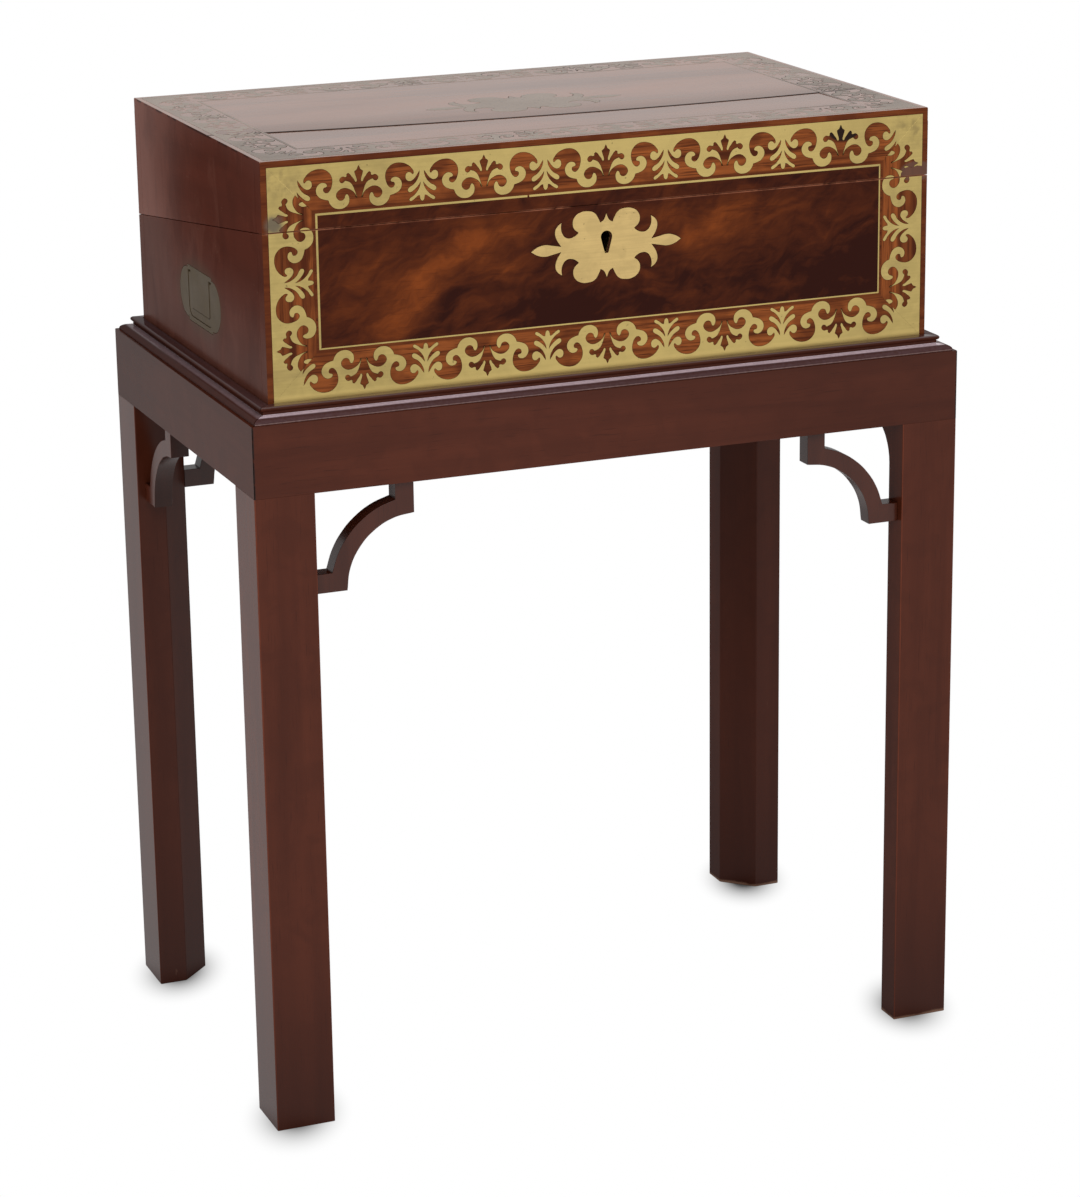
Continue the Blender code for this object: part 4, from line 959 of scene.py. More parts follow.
def copied(node, name):
    """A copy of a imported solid, its loose triangles merged into whole faces."""
    only(frame["nodes"][node])
    bpy.ops.object.duplicate()
    made = renamed(name)
    del made["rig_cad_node"]
    bpy.ops.mesh.customdata_custom_splitnormals_clear()
    with editing(made):
        bpy.ops.mesh.remove_doubles(threshold=WELD)
        bpy.ops.mesh.dissolve_limited(angle_limit=FLAT_ANGLE)
    return made


def dressed(made, body, slot, finish, *nodes):
    """Give a piece its finish, the body that it rides on and the solids that it stands for. The slot is not
    used.
    """
    only(made)
    bpy.ops.object.shade_smooth_by_angle(angle=SMOOTH_ANGLE)
    step = made.modifiers.new("flat_faces", "WEIGHTED_NORMAL")
    step.keep_sharp = True
    bpy.ops.object.modifier_apply(modifier=step.name)
    if finish:
        made.data.materials.clear()
        made.data.materials.append(finish)
    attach(made, body)
    if nodes:
        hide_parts(*nodes)
    return made


def middle_of(node):
    """The middle of a solid."""
    low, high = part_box(node)
    return (low + high) / 2


def body_of(node):
    """The body that a solid rides on."""
    return frame["nodes"][node]["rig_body"]


def pick_sharp(made):
    """Select the sharp edges."""
    with editing(made, "DESELECT"):
        bpy.ops.mesh.edges_select_sharp(sharpness=SHARP_ANGLE)


def bevel_picked(made, width, segments):
    """Round the edges picked before."""
    with editing(made, None):
        bpy.ops.mesh.bevel(offset=width, segments=segments, profile=0.5, clamp_overlap=True)


def bevelled(made, width, segments=2):
    """Round every sharp edge."""
    pick_sharp(made)
    bevel_picked(made, width, segments)


def softened(node, name, width, slot, finish, segments=2):
    """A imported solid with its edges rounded."""
    made = copied(node, name)
    bevelled(made, width, segments)
    return dressed(made, body_of(node), slot, finish, node)


def bevel_where(made, wanted, width, segments):
    """Round the edges whose two ends answer a test."""
    deselected(made)
    points = made.data.vertices
    for edge in made.data.edges:
        edge.select = wanted(points[edge.vertices[0]].co, points[edge.vertices[1]].co)
    bevel_picked(made, width, segments)


def lift_points(made, wanted, height):
    """Move the points that answer a test up or down."""
    deselected(made, "VERT")
    for point in made.data.vertices:
        point.select = wanted(point.co)
    with editing(made, None, "VERT"):
        bpy.ops.transform.translate(value=(0.0, 0.0, height))


def finish_faces(made, finishes, choose):
    """Give a piece several finishes, one chosen for each face."""
    made.data.materials.clear()
    for finish in finishes:
        made.data.materials.append(finish)
    for face in made.data.polygons:
        face.material_index = choose(face)


def seam_height(y):
    """Height of the slanted parting at a depth."""
    return SEAM - SEAM_SLOPE * (y - FRONT)


OUTER_FACES = (
    lambda point: abs(point.x - HALF_WIDTH) < TOUCH,
    lambda point: abs(point.x + HALF_WIDTH) < TOUCH,
    lambda point: abs(point.y - FRONT) < TOUCH,
    lambda point: abs(point.y - BACK) < TOUCH,
    lambda point: abs(point.z - TOP) < TOUCH,
    lambda point: abs(point.z - seam_height(point.y)) < TOUCH,
    lambda point: abs(point.z - SEAM_GAP - seam_height(point.y)) < TOUCH,
)


def on_outside_edge(first, second):
    """True for an edge where two outer faces of the box meet."""
    return sum(face(first) and face(second) for face in OUTER_FACES) > 1


def round_outside(made, width):
    """Round only the edges that show on the closed box."""
    bevel_where(made, on_outside_edge, width, 3)


def joined(name, pieces):
    """Several pieces as one object."""
    only(*pieces)
    if len(pieces) > 1:
        bpy.ops.object.join()
    return renamed(name)


def applied(made):
    """Put an object's place and turn into its mesh."""
    only(made)
    bpy.ops.object.transform_apply(location=True, rotation=True, scale=True)
    return made


def cut_away(made, cutter):
    """Take a solid out of a piece and discard the solid."""
    only(made)
    step = made.modifiers.new("cut", "BOOLEAN")
    step.operation = "DIFFERENCE"
    step.solver = "EXACT"
    step.object = cutter
    bpy.ops.object.modifier_apply(modifier=step.name)
    bpy.data.objects.remove(cutter)


def drawn(name, outlines, thickness, steps=3, rim=0.0, spread=0.0):
    """A plate from closed outlines of (x, y, is corner), centred on its own plane, its rim bevelled."""
    curve = bpy.data.curves.new(name, "CURVE")
    curve.dimensions = "2D"
    curve.fill_mode = "BOTH"
    curve.resolution_u = steps
    curve.extrude = thickness / 2 - rim
    curve.bevel_depth = rim
    curve.bevel_resolution = 1
    curve.offset = spread - rim
    for outline in outlines:
        spline = curve.splines.new("BEZIER")
        spline.bezier_points.add(len(outline) - 1)
        for knot, (x, y, corner) in zip(spline.bezier_points, outline):
            knot.co = (x, y, 0.0)
            knot.handle_left_type = "VECTOR" if corner else "AUTO"
            knot.handle_right_type = knot.handle_left_type
        spline.use_cyclic_u = True
    made = bpy.data.objects.new(name, curve)
    bpy.context.scene.collection.objects.link(made)
    only(made)
    bpy.ops.object.convert(target="MESH")
    made = renamed(name)
    with editing(made):
        bpy.ops.mesh.remove_doubles(threshold=WELD)
        bpy.ops.mesh.normals_make_consistent(inside=False)
    return made


def bar(name, low, high):
    """A rectangular bar between two corners, ready to be cut to its mitres."""
    middle = [(a + b) / 2 for a, b in zip(low, high)]
    size = [b - a for a, b in zip(low, high)]
    bpy.ops.object.select_all(action="DESELECT")
    bpy.ops.mesh.primitive_cube_add(size=1.0, location=middle, scale=size)
    return applied(renamed(name))


def sliced(made, place, normal):
    """Cut off what lies beyond a plane and close the cut."""
    with editing(made):
        bpy.ops.mesh.bisect(plane_co=place, plane_no=normal, use_fill=True, clear_outer=True)
    return made


def mitred(made, reach):
    """Cut both ends of a border run at 45 degrees."""
    end = reach - sizes().mitre_gap
    sliced(made, (end, 0.0, 0.0), (1.0, 1.0, 0.0))
    return sliced(made, (-end, 0.0, 0.0), (-1.0, 1.0, 0.0))


def laid(made, origin, inwards, outwards):
    """Lay a run on a face: its Y turned inwards from the edge and its Z outwards."""
    along = inwards.cross(outwards)
    turn = Matrix((along, inwards, outwards)).transposed().to_4x4()
    made.matrix_world = Matrix.Translation(origin) @ turn
    return applied(made)


class Run:
    """One side of a border.

    It has the middle of its outer edge, its two directions, how far it reaches, the axes of its first and
    last palmettes, how many strokes of fret go on past them, how far the pattern is closed up, and how far
    the brass goes on outside its edge.
    """

    def __init__(self, origin, inwards, outwards, reach, axes, tail=0, stretch=1.0, skirt=0.0):
        self.origin = Vector(origin)
        self.inwards = inwards
        self.outwards = outwards
        self.reach = reach
        self.axes = axes
        self.tail = tail
        self.stretch = stretch
        self.skirt = skirt
        along = inwards.cross(outwards)
        self.grain = "XYZ"[max(range(3), key=lambda axis: abs(along[axis]))]

    def finish(self, made):
        """Mitre a run and lay it in place."""
        return laid(mitred(made, self.reach), self.origin, self.inwards, self.outwards)


# Wooden palmettes have even axes and brass ones odd. Rows and ends close on brass palmettes, columns on
# wooden ones.
ROW_AXES = (-5, 5)
COLUMN_AXES = (0, 2)
COLUMN_TAIL = 6
END_AXES = (-3, 3)
BOTTOM_SKIRT = 0.0012


def front_runs():
    """The four sides of the front's border."""
    row = (FRONTWARDS, ROW_REACH, ROW_AXES)
    column = (FRONTWARDS, COLUMN_REACH, COLUMN_AXES, COLUMN_TAIL)
    return {
        "top": Run((0.0, FRONT, TOP - INLAY_EDGE), DOWNWARDS, *row),
        "bottom": Run((0.0, FRONT, BOTTOM + INLAY_EDGE), UPWARDS, *row, skirt=BOTTOM_SKIRT),
        "left": Run((-ROW_REACH, FRONT, MID_HEIGHT), RIGHTWARDS, *column),
        "right": Run((ROW_REACH, FRONT, MID_HEIGHT), LEFTWARDS, *column),
    }


def top_runs():
    """The four sides of the lid top's border, its ends closed up to start as the long sides do."""
    cell = sizes().fret_cell
    start = ROW_REACH - ROW_AXES[1] * cell
    stretch = (END_REACH - start) / (END_AXES[1] * cell)
    row = (UPWARDS, ROW_REACH, ROW_AXES)
    end = (UPWARDS, END_REACH, END_AXES, 0, stretch)
    return (
        Run((0.0, -END_REACH, TOP), BACKWARDS, *row),
        Run((0.0, END_REACH, TOP), FRONTWARDS, *row),
        Run((-ROW_REACH, 0.0, TOP), RIGHTWARDS, *end),
        Run((ROW_REACH, 0.0, TOP), LEFTWARDS, *end),
    )


def stroke_knots(strokes):
    """Knots of a line of strokes, with their corners marked."""
    knots = []
    for stroke in strokes:
        knots = knots[:-1]
        for index, (x, y) in enumerate(stroke):
            knots.append((x, y, index in (0, len(stroke) - 1)))
    return knots


def blunted(line):
    """A line of fret whose brass points are rounded, so that it can be grown without spikes."""
    soft = []
    for before, here, after in zip(line[:1] + line, line, line[1:] + line[-1:]):
        bend = (here[0] - before[0]) * (after[1] - here[1]) - (here[1] - before[1]) * (after[0] - here[0])
        soft.append((here[0], here[1], here[2] and bend > 0))
    return soft


def fret_outline(run, cell, sharp):
    """Closed outline of a run of fretwork, its middle at 0, solid from its last palmettes to the corners."""
    scale = cell / FRET_CELL
    first, last = run.axes
    half = [(u * scale, v * TENTH, corner and v < FRET_TIP) for u, v, corner in stroke_knots(FRET_STROKES)]
    tail = [(u * scale, v * TENTH, corner) for u, v, corner in stroke_knots(FRET_STROKES[:run.tail])][1:]
    line = []
    for axis in range(first, last):
        if axis % 2 == 0:
            part = [(axis * cell + u, v, corner) for u, v, corner in half]
        else:
            part = [((axis + 1) * cell - u, v, corner) for u, v, corner in reversed(half)]
        line = line[:-1] + part
    before = [(first * cell - u, v, corner) for u, v, corner in reversed(tail)]
    after = [(last * cell + u, v, corner) for u, v, corner in tail]
    middle = (first + last) / 2 * cell
    line = [(u - middle, v, corner) for u, v, corner in before + line + after]
    if not sharp:
        line = blunted(line)
    far = run.reach + INLAY_EDGE
    line = [(-far, line[0][1], True)] + line + [(far, line[-1][1], True)]
    return line + [(far, -run.skirt, True), (-far, -run.skirt, True)]


def fret(name, run, high, spread=0.0):
    """One side's fretwork, its face at a height over the run's plane, grown by a spread for its joint."""
    depth = sizes().fret_depth
    cell = sizes().fret_cell * run.stretch
    outline = fret_outline(run, cell, spread == 0.0)
    made = drawn(name, [outline], depth, sizes().fret_steps, 0.0, spread)
    made.location.z = high - depth / 2
    applied(made)
    return run.finish(made)


def strip(name, run, start, end, high, deep, ends=None):
    """A mitred strip of one side, between two distances in from the run's outer edge."""
    left, right = ends or (-run.reach, run.reach)
    return run.finish(bar(name, (left, start, deep), (right, end, high)))


def above_seam(made, margin):
    """Keep what belongs to the lid, with a margin from the parting."""
    return sliced(made, (0.0, FRONT, SEAM + SEAM_GAP + margin), DOWNWARDS)


def below_seam(made, margin):
    """Keep what belongs to the case, with a margin from the parting."""
    return sliced(made, (0.0, FRONT, SEAM - margin), UPWARDS)


# Operators

class LAPDESK_OT_stand(bpy.types.Operator):
    """Legs, rails, mouldings, braces and platform of the stand, with worn edges"""

    bl_idname = "lapdesk.stand"
    bl_label = "Stand"
    bl_options = {"REGISTER", "UNDO"}

    # Each side, its grain, how strong its moulding's painted highlights and gloss are, and which part of the
    # stand its rail is finished as
    SIDES = (
        ("front", "X", 1.0, "front"),
        ("back", "X", 0.6, "front"),
        ("left", "Y", 0.2, "rail_end"),
        ("right", "Y", 0.2, "rail_end"),
    )
    # A brace: the depth of its tips, the width of its bow and the length of its solid ends
    BRACE_TIP = 0.0235
    BRACE_BOW = 0.0125
    BRACE_END = 0.014

    def execute(self, context):
        edge = sizes().stand_edge
        for leg in LEGS:
            self.leg(leg)
        for side, along, gleam, part in self.SIDES:
            self.run(f"rail_{side}", edge * 0.25, stand_wood(along, part))
            self.run(f"moulding_{side}", edge * 0.3, moulding_wood(along, gleam))
        for end in ("front", "back"):
            self.brace(f"bracket_{end}_left", RIGHTWARDS)
            self.brace(f"bracket_{end}_right", LEFTWARDS)
        for side in ("left", "right"):
            self.brace(f"bracket_{side}_back", FRONTWARDS)
        softened("platform", "waxed_platform", edge * 0.3, "stand_mahogany", stand_wood("X", "front"))
        return {"FINISHED"}

    def run(self, node, width, finish):
        """A rail or moulding with its edges rounded, shut tight where the one sits on the other."""
        made = copied(node, f"waxed_{node}")
        joint = RAIL_HIGH.z
        lift_points(made, lambda point: MM / 5 < point.z - joint < MM / 2, WELD - SEAM_GAP)
        pick_sharp(made)
        points = made.data.vertices
        for line in made.data.edges:
            if all(abs(points[index].co.z - joint) < MM / 5 for index in line.vertices):
                line.select = False
        bevel_picked(made, width, 2)
        dressed(made, "stand", "stand_mahogany", finish, node)

    def leg(self, node):
        """A leg shut against the rails, its long edges and foot rounded and rubbed."""
        made = copied(node, f"waxed_{node}")
        lift_points(made, lambda point: abs(point.z - RAIL_LOW.z) < 2 * SEAM_GAP, SEAM_GAP - WELD)
        bevel_where(made, self.is_upright, sizes().stand_edge, 3)
        bevel_where(made, lambda a, b: max(a.z, b.z) < WELD, sizes().foot_edge, 3)
        middle = middle_of(node)
        inwards = Vector((-math.copysign(1.0, middle.x), -math.copysign(1.0, middle.y), 0.0))
        # The outer faces at the ends take a lighter copy of the wood as painted light, and the rubbed edges a
        # lighter one for wear.
        parts = ("front", "end", "inner_end", "chamfer", "edge")
        finishes = [stand_wood("Z", part) for part in parts]
        finish_faces(made, finishes, lambda face: parts.index(self.part(face.normal, inwards)))
        dressed(made, "stand", "stand_mahogany", None, node)

    def is_upright(self, first, second):
        """True for an edge that runs up the leg from under the rails."""
        rise = abs(first.z - second.z)
        sideways = abs(first.x - second.x) + abs(first.y - second.y)
        return min(first.z, second.z) < RAIL_LOW.z - MM and rise > sideways

    def part(self, normal, inwards):
        """Which part of a leg a face belongs to."""
        if abs(normal.x) > 0.98:
            return "end" if normal.x * inwards.x < 0 else "inner_end"
        if abs(normal.y) > 0.98 or abs(normal.z) > 0.3:
            return "front"
        return "chamfer" if normal.dot(inwards) > 0.2 else "edge"

    def brace(self, node, away):
        """A curved brace, pierced at the corner that it closes, running away from its leg under the rail."""
        low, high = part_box(node)
        reach = high.z - low.z
        inner = reach - self.BRACE_TIP
        outer = inner + self.BRACE_BOW
        seat = math.asin(self.BRACE_END / outer)
        outline = [(reach - self.BRACE_END, 0.0, True), (reach, 0.0, True)]
        outline += self.bow(reach, inner, math.pi / 2, math.pi)
        outline += [(0.0, -reach, True), (0.0, self.BRACE_END - reach, True)]
        outline += self.bow(reach, outer, math.pi - seat, math.pi / 2 + seat)
        facing = away.cross(UPWARDS)
        thick = abs((high - low).dot(facing))
        made = drawn(f"waxed_{node}", [outline], thick, 8, sizes().stand_edge * 0.5)
        origin = (low + high) / 2 - away * reach / 2
        origin.z = high.z
        laid(made, origin, UPWARDS, facing)
        # The brace's front takes a darker copy of the wood and its sawn edges a darker one still, as painted
        # shade; the faces at its ends a lighter one, as painted light.
        parts = ("brace", "end", "brace_edge")
        finishes = [stand_wood("Z", part) for part in parts]
        finish_faces(made, finishes, lambda face: self.brace_part(face.normal, facing))
        dressed(made, "stand", "stand_mahogany", None, node)

    def brace_part(self, normal, facing):
        """0 for a brace's front, 1 for the face of one at an end and 2 for its sawn edges."""
        if abs(normal.dot(facing)) < 0.75:
            return 2
        return int(abs(normal.x) > 0.75)

    def bow(self, reach, radius, start, end):
        """Knots of an arc about the brace's open corner."""
        knots = []
        for step in range(6):
            angle = start + (end - start) * step / 5
            across = reach + radius * math.cos(angle)
            knots.append((across, radius * math.sin(angle) - reach, step in (0, 5)))
        return knots


class LAPDESK_OT_boards(bpy.types.Operator):
    """Polished boards of the case and the lid, rounded along the edges that show"""

    bl_idname = "lapdesk.boards"
    bl_label = "Boards"
    bl_options = {"REGISTER", "UNDO"}

    # The strip in front of the crack: how far from the front it starts to sink, and its fall over a length
    STRIP_FRONT = 45 * MM
    STRIP_FALL = (0.35 * MM, 50 * MM)

    def execute(self, context):
        edge = sizes().box_edge
        end = box_wood("Y")
        finishes = {"front": front_veneer(), "back": box_wood("X"), "left": end, "right": end}
        for half in ("case", "lid"):
            for side, finish in finishes.items():
                node = f"{half}_{side}"
                made = copied(node, f"polished_{node}")
                if half == "lid":
                    lift_points(made, lambda point: abs(point.z - LID_LOW.z) < 2 * SEAM_GAP, SEAM_GAP - WELD)
                round_outside(made, edge * 0.6 if side == "front" else edge)
                finish_faces(made, (finish, end), lambda face: int(abs(face.normal.x) > 0.8))
                dressed(made, body_of(node), "box_mahogany", None, node)
        softened("case_bottom", "polished_case_bottom", edge * 0.5, "box_mahogany", box_wood("X"))
        self.top()
        return {"FINISHED"}

    def top(self):
        """The top board, sunk a little in front of the shrinkage crack, its ends finished like the walls."""
        made = copied("lid_top", "polished_lid_top")
        round_outside(made, sizes().box_edge * 1.4)
        lift_points(made, lambda point: point.z > TOP - WELD, -sizes().fret_proud)
        cut_away(made, self.sunk_strip())
        finish_faces(made, (top_veneer("X"), box_wood("Y"), border_wood("X"), box_wood("X")), self.side)
        dressed(made, "lid", "box_mahogany", None, "lid_top")

    def side(self, face):
        """0 on the top, 1 at the ends, 2 at the front and 3 at the back."""
        if abs(face.normal.x) > 0.7:
            return 1
        if face.normal.y < -0.7 and face.center.y < FRONT + MM:
            return 2
        return 3 if face.normal.y > 0.7 and face.center.y > BACK - MM else 0

    def sunk_strip(self):
        """A shallow wedge whose back edge is the crack."""
        reach = HALF_WIDTH - sizes().line_inset - sizes().line_width - MM
        front = FRONT + self.STRIP_FRONT
        shares = [step / 4 for step in range(-4, 5)]
        back = [(share * reach, CRACK[0] + share * CRACK[1] + share * share * CRACK[2]) for share in shares]
        outline = [(x, y - self.STRIP_FRONT, abs(x) == reach) for x, y in back]
        outline += [(reach, 0.0, True), (-reach, 0.0, True)]
        height = 6 * MM
        wedge = drawn("sunk_strip", [outline], height, 8)
        wedge.location.z = height / 2
        applied(wedge)
        wedge.rotation_euler.x = -math.atan2(*self.STRIP_FALL)
        wedge.location = (0.0, front, TOP - sizes().fret_proud)
        return applied(wedge)


class LAPDESK_OT_border_wood(bpy.types.Operator):
    """Mitred strips of red wood that fill the border between the brass"""

    bl_idname = "lapdesk.border_wood"
    bl_label = "Border wood"
    bl_options = {"REGISTER", "UNDO"}

    def execute(self, context):
        margin = MM / 2 + WELD
        case, lid = [], []
        for name, run in front_runs().items():
            if name != "top":
                case.append(below_seam(self.ground(run, border_wood(run.grain), 0.0), margin))
            if name != "bottom":
                lid.append(above_seam(self.ground(run, border_wood(run.grain), 0.0), margin))
        dressed(joined("case_border_wood", case), "desk", "box_mahogany", None)
        dressed(joined("lid_front_border_wood", lid), "lid", "box_mahogany", None)
        sunk = -sizes().fret_proud
        top = [self.ground(run, top_veneer(run.grain), sunk) for run in top_runs()]
        dressed(joined("lid_top_border_wood", top), "lid", "box_mahogany", None)
        return {"FINISHED"}

    def ground(self, run, finish, high):
        """A strip of wood under one side's brass, its grain along the run."""
        deep = -sizes().fret_depth - SEAM_GAP
        made = strip("ground", run, WELD - SEAM_GAP, sizes().band - WELD, high, deep)
        made.data.materials.append(finish)
        return made


class LAPDESK_OT_fretwork(bpy.types.Operator):
    """Pierced brass borders of palmettes and scrolls on the front and the top, in dark glue joints"""

    bl_idname = "lapdesk.fretwork"
    bl_label = "Fretwork"
    bl_options = {"REGISTER", "UNDO"}

    def execute(self, context):
        proud = sizes().fret_proud
        joint = sizes().joint_width
        self.front("fretwork", proud, 0.0, border_brass(), lid_brass(), ("case_inlay",), ("lid_front_inlay",))
        self.front("fret_joint", proud * 0.4, joint, glue_joint(), glue_joint(), (), ())
        top = [fret("top_fret", run, 0.0) for run in top_runs()]
        dressed(joined("lid_top_fretwork", top), "lid", "brass", top_brass(), "lid_top_inlay")
        top = [fret("top_fret", run, -proud * 0.5, joint * 2) for run in top_runs()]
        dressed(joined("lid_top_fret_joint", top), "lid", "box_mahogany", top_joint())
        return {"FINISHED"}

    def front(self, name, high, spread, case_finish, lid_finish, case_nodes, lid_nodes):
        """The front's border, parted between case and lid."""
        margin = sizes().box_edge * 0.5
        runs = front_runs()
        case = [fret("case_fret", runs["bottom"], high, spread)]
        lid = [fret("lid_fret", runs["top"], high, spread)]
        for side in ("left", "right"):
            case.append(below_seam(fret("case_fret", runs[side], high, spread), margin))
            column = above_seam(fret("lid_fret", runs[side], high, spread), margin)
            if side == "right":
                cut_away(column, self.lost_corner())
            lid.append(column)
        slot = "brass" if case_nodes else "box_mahogany"
        dressed(joined(f"case_{name}", case), "desk", slot, case_finish, *case_nodes)
        dressed(joined(f"lid_front_{name}", lid), "lid", slot, lid_finish, *lid_nodes)

    def lost_corner(self):
        """The broken-off corner of brass beside the parting, at the right, in millimetres."""
        outline = ((-4, -4), (19, -4), (18, 3), (15, 6.5), (12, 7.2), (9, 6.4), (5, 7.6), (1, 7.0), (-4, 8))
        made = drawn("lost_corner", [[(x * MM, y * MM, True) for x, y in outline]], 8 * MM, 1)
        origin = Vector((ROW_REACH + MM, FRONT, SEAM))
        return laid(made, origin, UPWARDS, BACKWARDS)


class LAPDESK_OT_lines(bpy.types.Operator):
    """Thin brass lines inside the borders"""

    bl_idname = "lapdesk.lines"
    bl_label = "Brass lines"
    bl_options = {"REGISTER", "UNDO"}

    # Both ends of the break in the upper line, and the width that is left of the bottom and right lines
    BREAK = (0.0582, 0.0596)
    WORN_SHARE = 0.68

    def execute(self, context):
        start = sizes().line_inset - INLAY_EDGE
        end = start + sizes().line_width
        proud = sizes().fret_proud
        margin = sizes().box_edge * 0.5
        case, lid = [], []
        for name, run in front_runs().items():
            thin = start + sizes().line_width * (self.WORN_SHARE if name in ("bottom", "right") else 1.0)
            if name == "top":
                near, far = self.BREAK
                lid.append(strip("line", run, start, thin, proud, -proud, (-run.reach, near)))
                lid.append(strip("line", run, start, thin, proud, -proud, (far, run.reach)))
            elif name == "bottom":
                case.append(strip("line", run, start, thin, proud, -proud))
            else:
                case.append(below_seam(strip("line", run, start, thin, proud, -proud), margin))
                lid.append(above_seam(strip("line", run, start, thin, proud, -proud), margin))
        dressed(joined("case_brass_line", case), "desk", "brass", border_brass())
        dressed(joined("lid_front_brass_line", lid), "lid", "brass", border_brass())
        sunk = -3 * proud
        top = [strip("line", run, start, end, 0.0, sunk) for run in top_runs()]
        dressed(joined("lid_top_brass_line", top), "lid", "brass", top_brass())
        joint = sizes().joint_width
        start, end = start - joint, end + joint
        top = [strip("joint", run, start, end, -proud / 2, sunk) for run in top_runs()]
        dressed(joined("lid_top_line_joint", top), "lid", "box_mahogany", top_joint())
        return {"FINISHED"}


class LAPDESK_OT_plates(bpy.types.Operator):
    """Keyhole plate on the front and the larger plate on the lid's top"""

    bl_idname = "lapdesk.plates"
    bl_label = "Ornamental plates"
    bl_options = {"REGISTER", "UNDO"}

    # The keyhole plate's broken rim, and the keyhole: its eye's radius and height, half its slot's width and
    # the slot's foot
    RIM = 0.00012
    EYE_RADIUS = 0.0043
    EYE_HEIGHT = 0.0062
    SLOT_HALF = 0.0013
    SLOT_FOOT = -0.0054

    def execute(self, context):
        proud = sizes().fret_proud
        thick = sizes().fret_depth + proud
        place = Vector((0.0, FRONT - proud + thick / 2, ESCUTCHEON_LEVEL))
        made = drawn("keyhole_plate", [self.outline(1.0), self.keyhole()], thick, 6, self.RIM)
        dressed(laid(made, place, UPWARDS, FRONTWARDS), "desk", "brass", plate_brass(), "escutcheon")
        low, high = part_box("lid_cartouche")
        outline = self.outline((high.x - low.x) / PLATE_LENGTH)
        made = drawn("top_plate", [outline], sizes().fret_depth, 6, TENTH)
        place = Vector((0.0, 0.0, TOP - sizes().fret_depth / 2))
        dressed(laid(made, place, BACKWARDS, UPWARDS), "lid", "brass", top_brass(), "lid_cartouche")
        return {"FINISHED"}

    def outline(self, scale):
        """The leaf-ended scroll plate from its quarter."""
        quarter = stroke_knots(PLATE_STROKES)
        upper = quarter + [(-x, y, corner) for x, y, corner in quarter[-2::-1]]
        lower = [(x, -y, corner) for x, y, corner in upper[-2:0:-1]]
        return [(x * TENTH * scale, y * TENTH * scale, corner) for x, y, corner in upper + lower]

    def keyhole(self):
        """A round eye over a narrowing slot."""
        knots = []
        for degrees in range(-20, 201, 20):
            angle = math.radians(degrees)
            height = self.EYE_HEIGHT + self.EYE_RADIUS * math.sin(angle)
            knots.append((self.EYE_RADIUS * math.cos(angle), height, False))
        return knots + [(-self.SLOT_HALF, self.SLOT_FOOT, True), (self.SLOT_HALF, self.SLOT_FOOT, True)]


class LAPDESK_OT_handles(bpy.types.Operator):
    """Flush drop handles in both ends of the case"""

    bl_idname = "lapdesk.handles"
    bl_label = "Handles"
    bl_options = {"REGISTER", "UNDO"}

    def execute(self, context):
        edge = sizes().metal_edge
        for side in ("left", "right"):
            softened(f"{side}_handle_plate", f"{side}_pan", edge * 0.7, "brass", handle_brass())
            softened(f"{side}_bail", f"{side}_drop_handle", edge * 2, "brass", handle_brass(), 3)
        return {"FINISHED"}


class LAPDESK_OT_ironmongery(bpy.types.Operator):
    """Hinges, lock, bolt and link plate"""

    bl_idname = "lapdesk.ironmongery"
    bl_label = "Hinges and lock"
    bl_options = {"REGISTER", "UNDO"}

    def execute(self, context):
        edge = sizes().metal_edge * 0.5
        for side in ("left", "right"):
            for part in ("leaf_case", "leaf_lid", "pin"):
                softened(f"hinge_{part}_{side}", f"brass_{part}_{side}", edge, "brass", fitting_brass())
        softened("lock_case", "brass_lock_case", edge, "brass", fitting_brass())
        softened("link_plate", "brass_link_plate", edge, "brass", fitting_brass())
        softened("lock_bolt", "filed_bolt", edge, "steel", bolt_steel())
        return {"FINISHED"}


class LAPDESK_OT_interior(bpy.types.Operator):
    """Writing flaps with tooled leather, pen tray, partitions and ink bottles"""

    bl_idname = "lapdesk.interior"
    bl_label = "Interior"
    bl_options = {"REGISTER", "UNDO"}

    # Each inset of the leather's face and what lies inside it: 1 is gilt, 0 is leather
    TOOLING = ((0.007, 1), (0.0013, 0), (0.002, 1), (0.0005, 0))
    JOINERY = ("case_flap", "lid_flap", "tray_divider", "tray_floor", "partition_left", "partition_right",
               "pen_tray")

    def execute(self, context):
        edge = sizes().box_edge
        for node in self.JOINERY:
            softened(node, f"satin_{node}", edge, "inner_wood", inner_wood())
        for half in ("case", "lid"):
            self.skiver(half, 1.0 if half == "case" else -1.0)
        for side in ("left", "right"):
            softened(f"inkwell_{side}", f"ink_bottle_{side}", edge * 1.5, "glass", bottle_glass(), 3)
            softened(f"inkwell_cap_{side}", f"ink_cap_{side}", edge * 2, "brass", fitting_brass(), 3)
        return {"FINISHED"}

    def skiver(self, half, up):
        """Writing leather with two gilt lines tooled round the face that shows when the desk is open."""
        node = f"{half}_skiver"
        made = copied(node, f"{half}_leather")
        bevelled(made, sizes().box_edge * 0.4)
        finish_faces(made, (desk_leather(), gilt()), lambda face: 0)
        shown = max(made.data.polygons, key=lambda face: face.area * face.normal.z * up).index
        deselected(made, "FACE")
        made.data.polygons[shown].select = True
        for inset, finish in self.TOOLING:
            with editing(made, None, "FACE"):
                bpy.ops.mesh.inset(thickness=inset)
            for face in made.data.polygons:
                if face.select:
                    face.material_index = finish
        dressed(made, body_of(node), "leather", None, node)


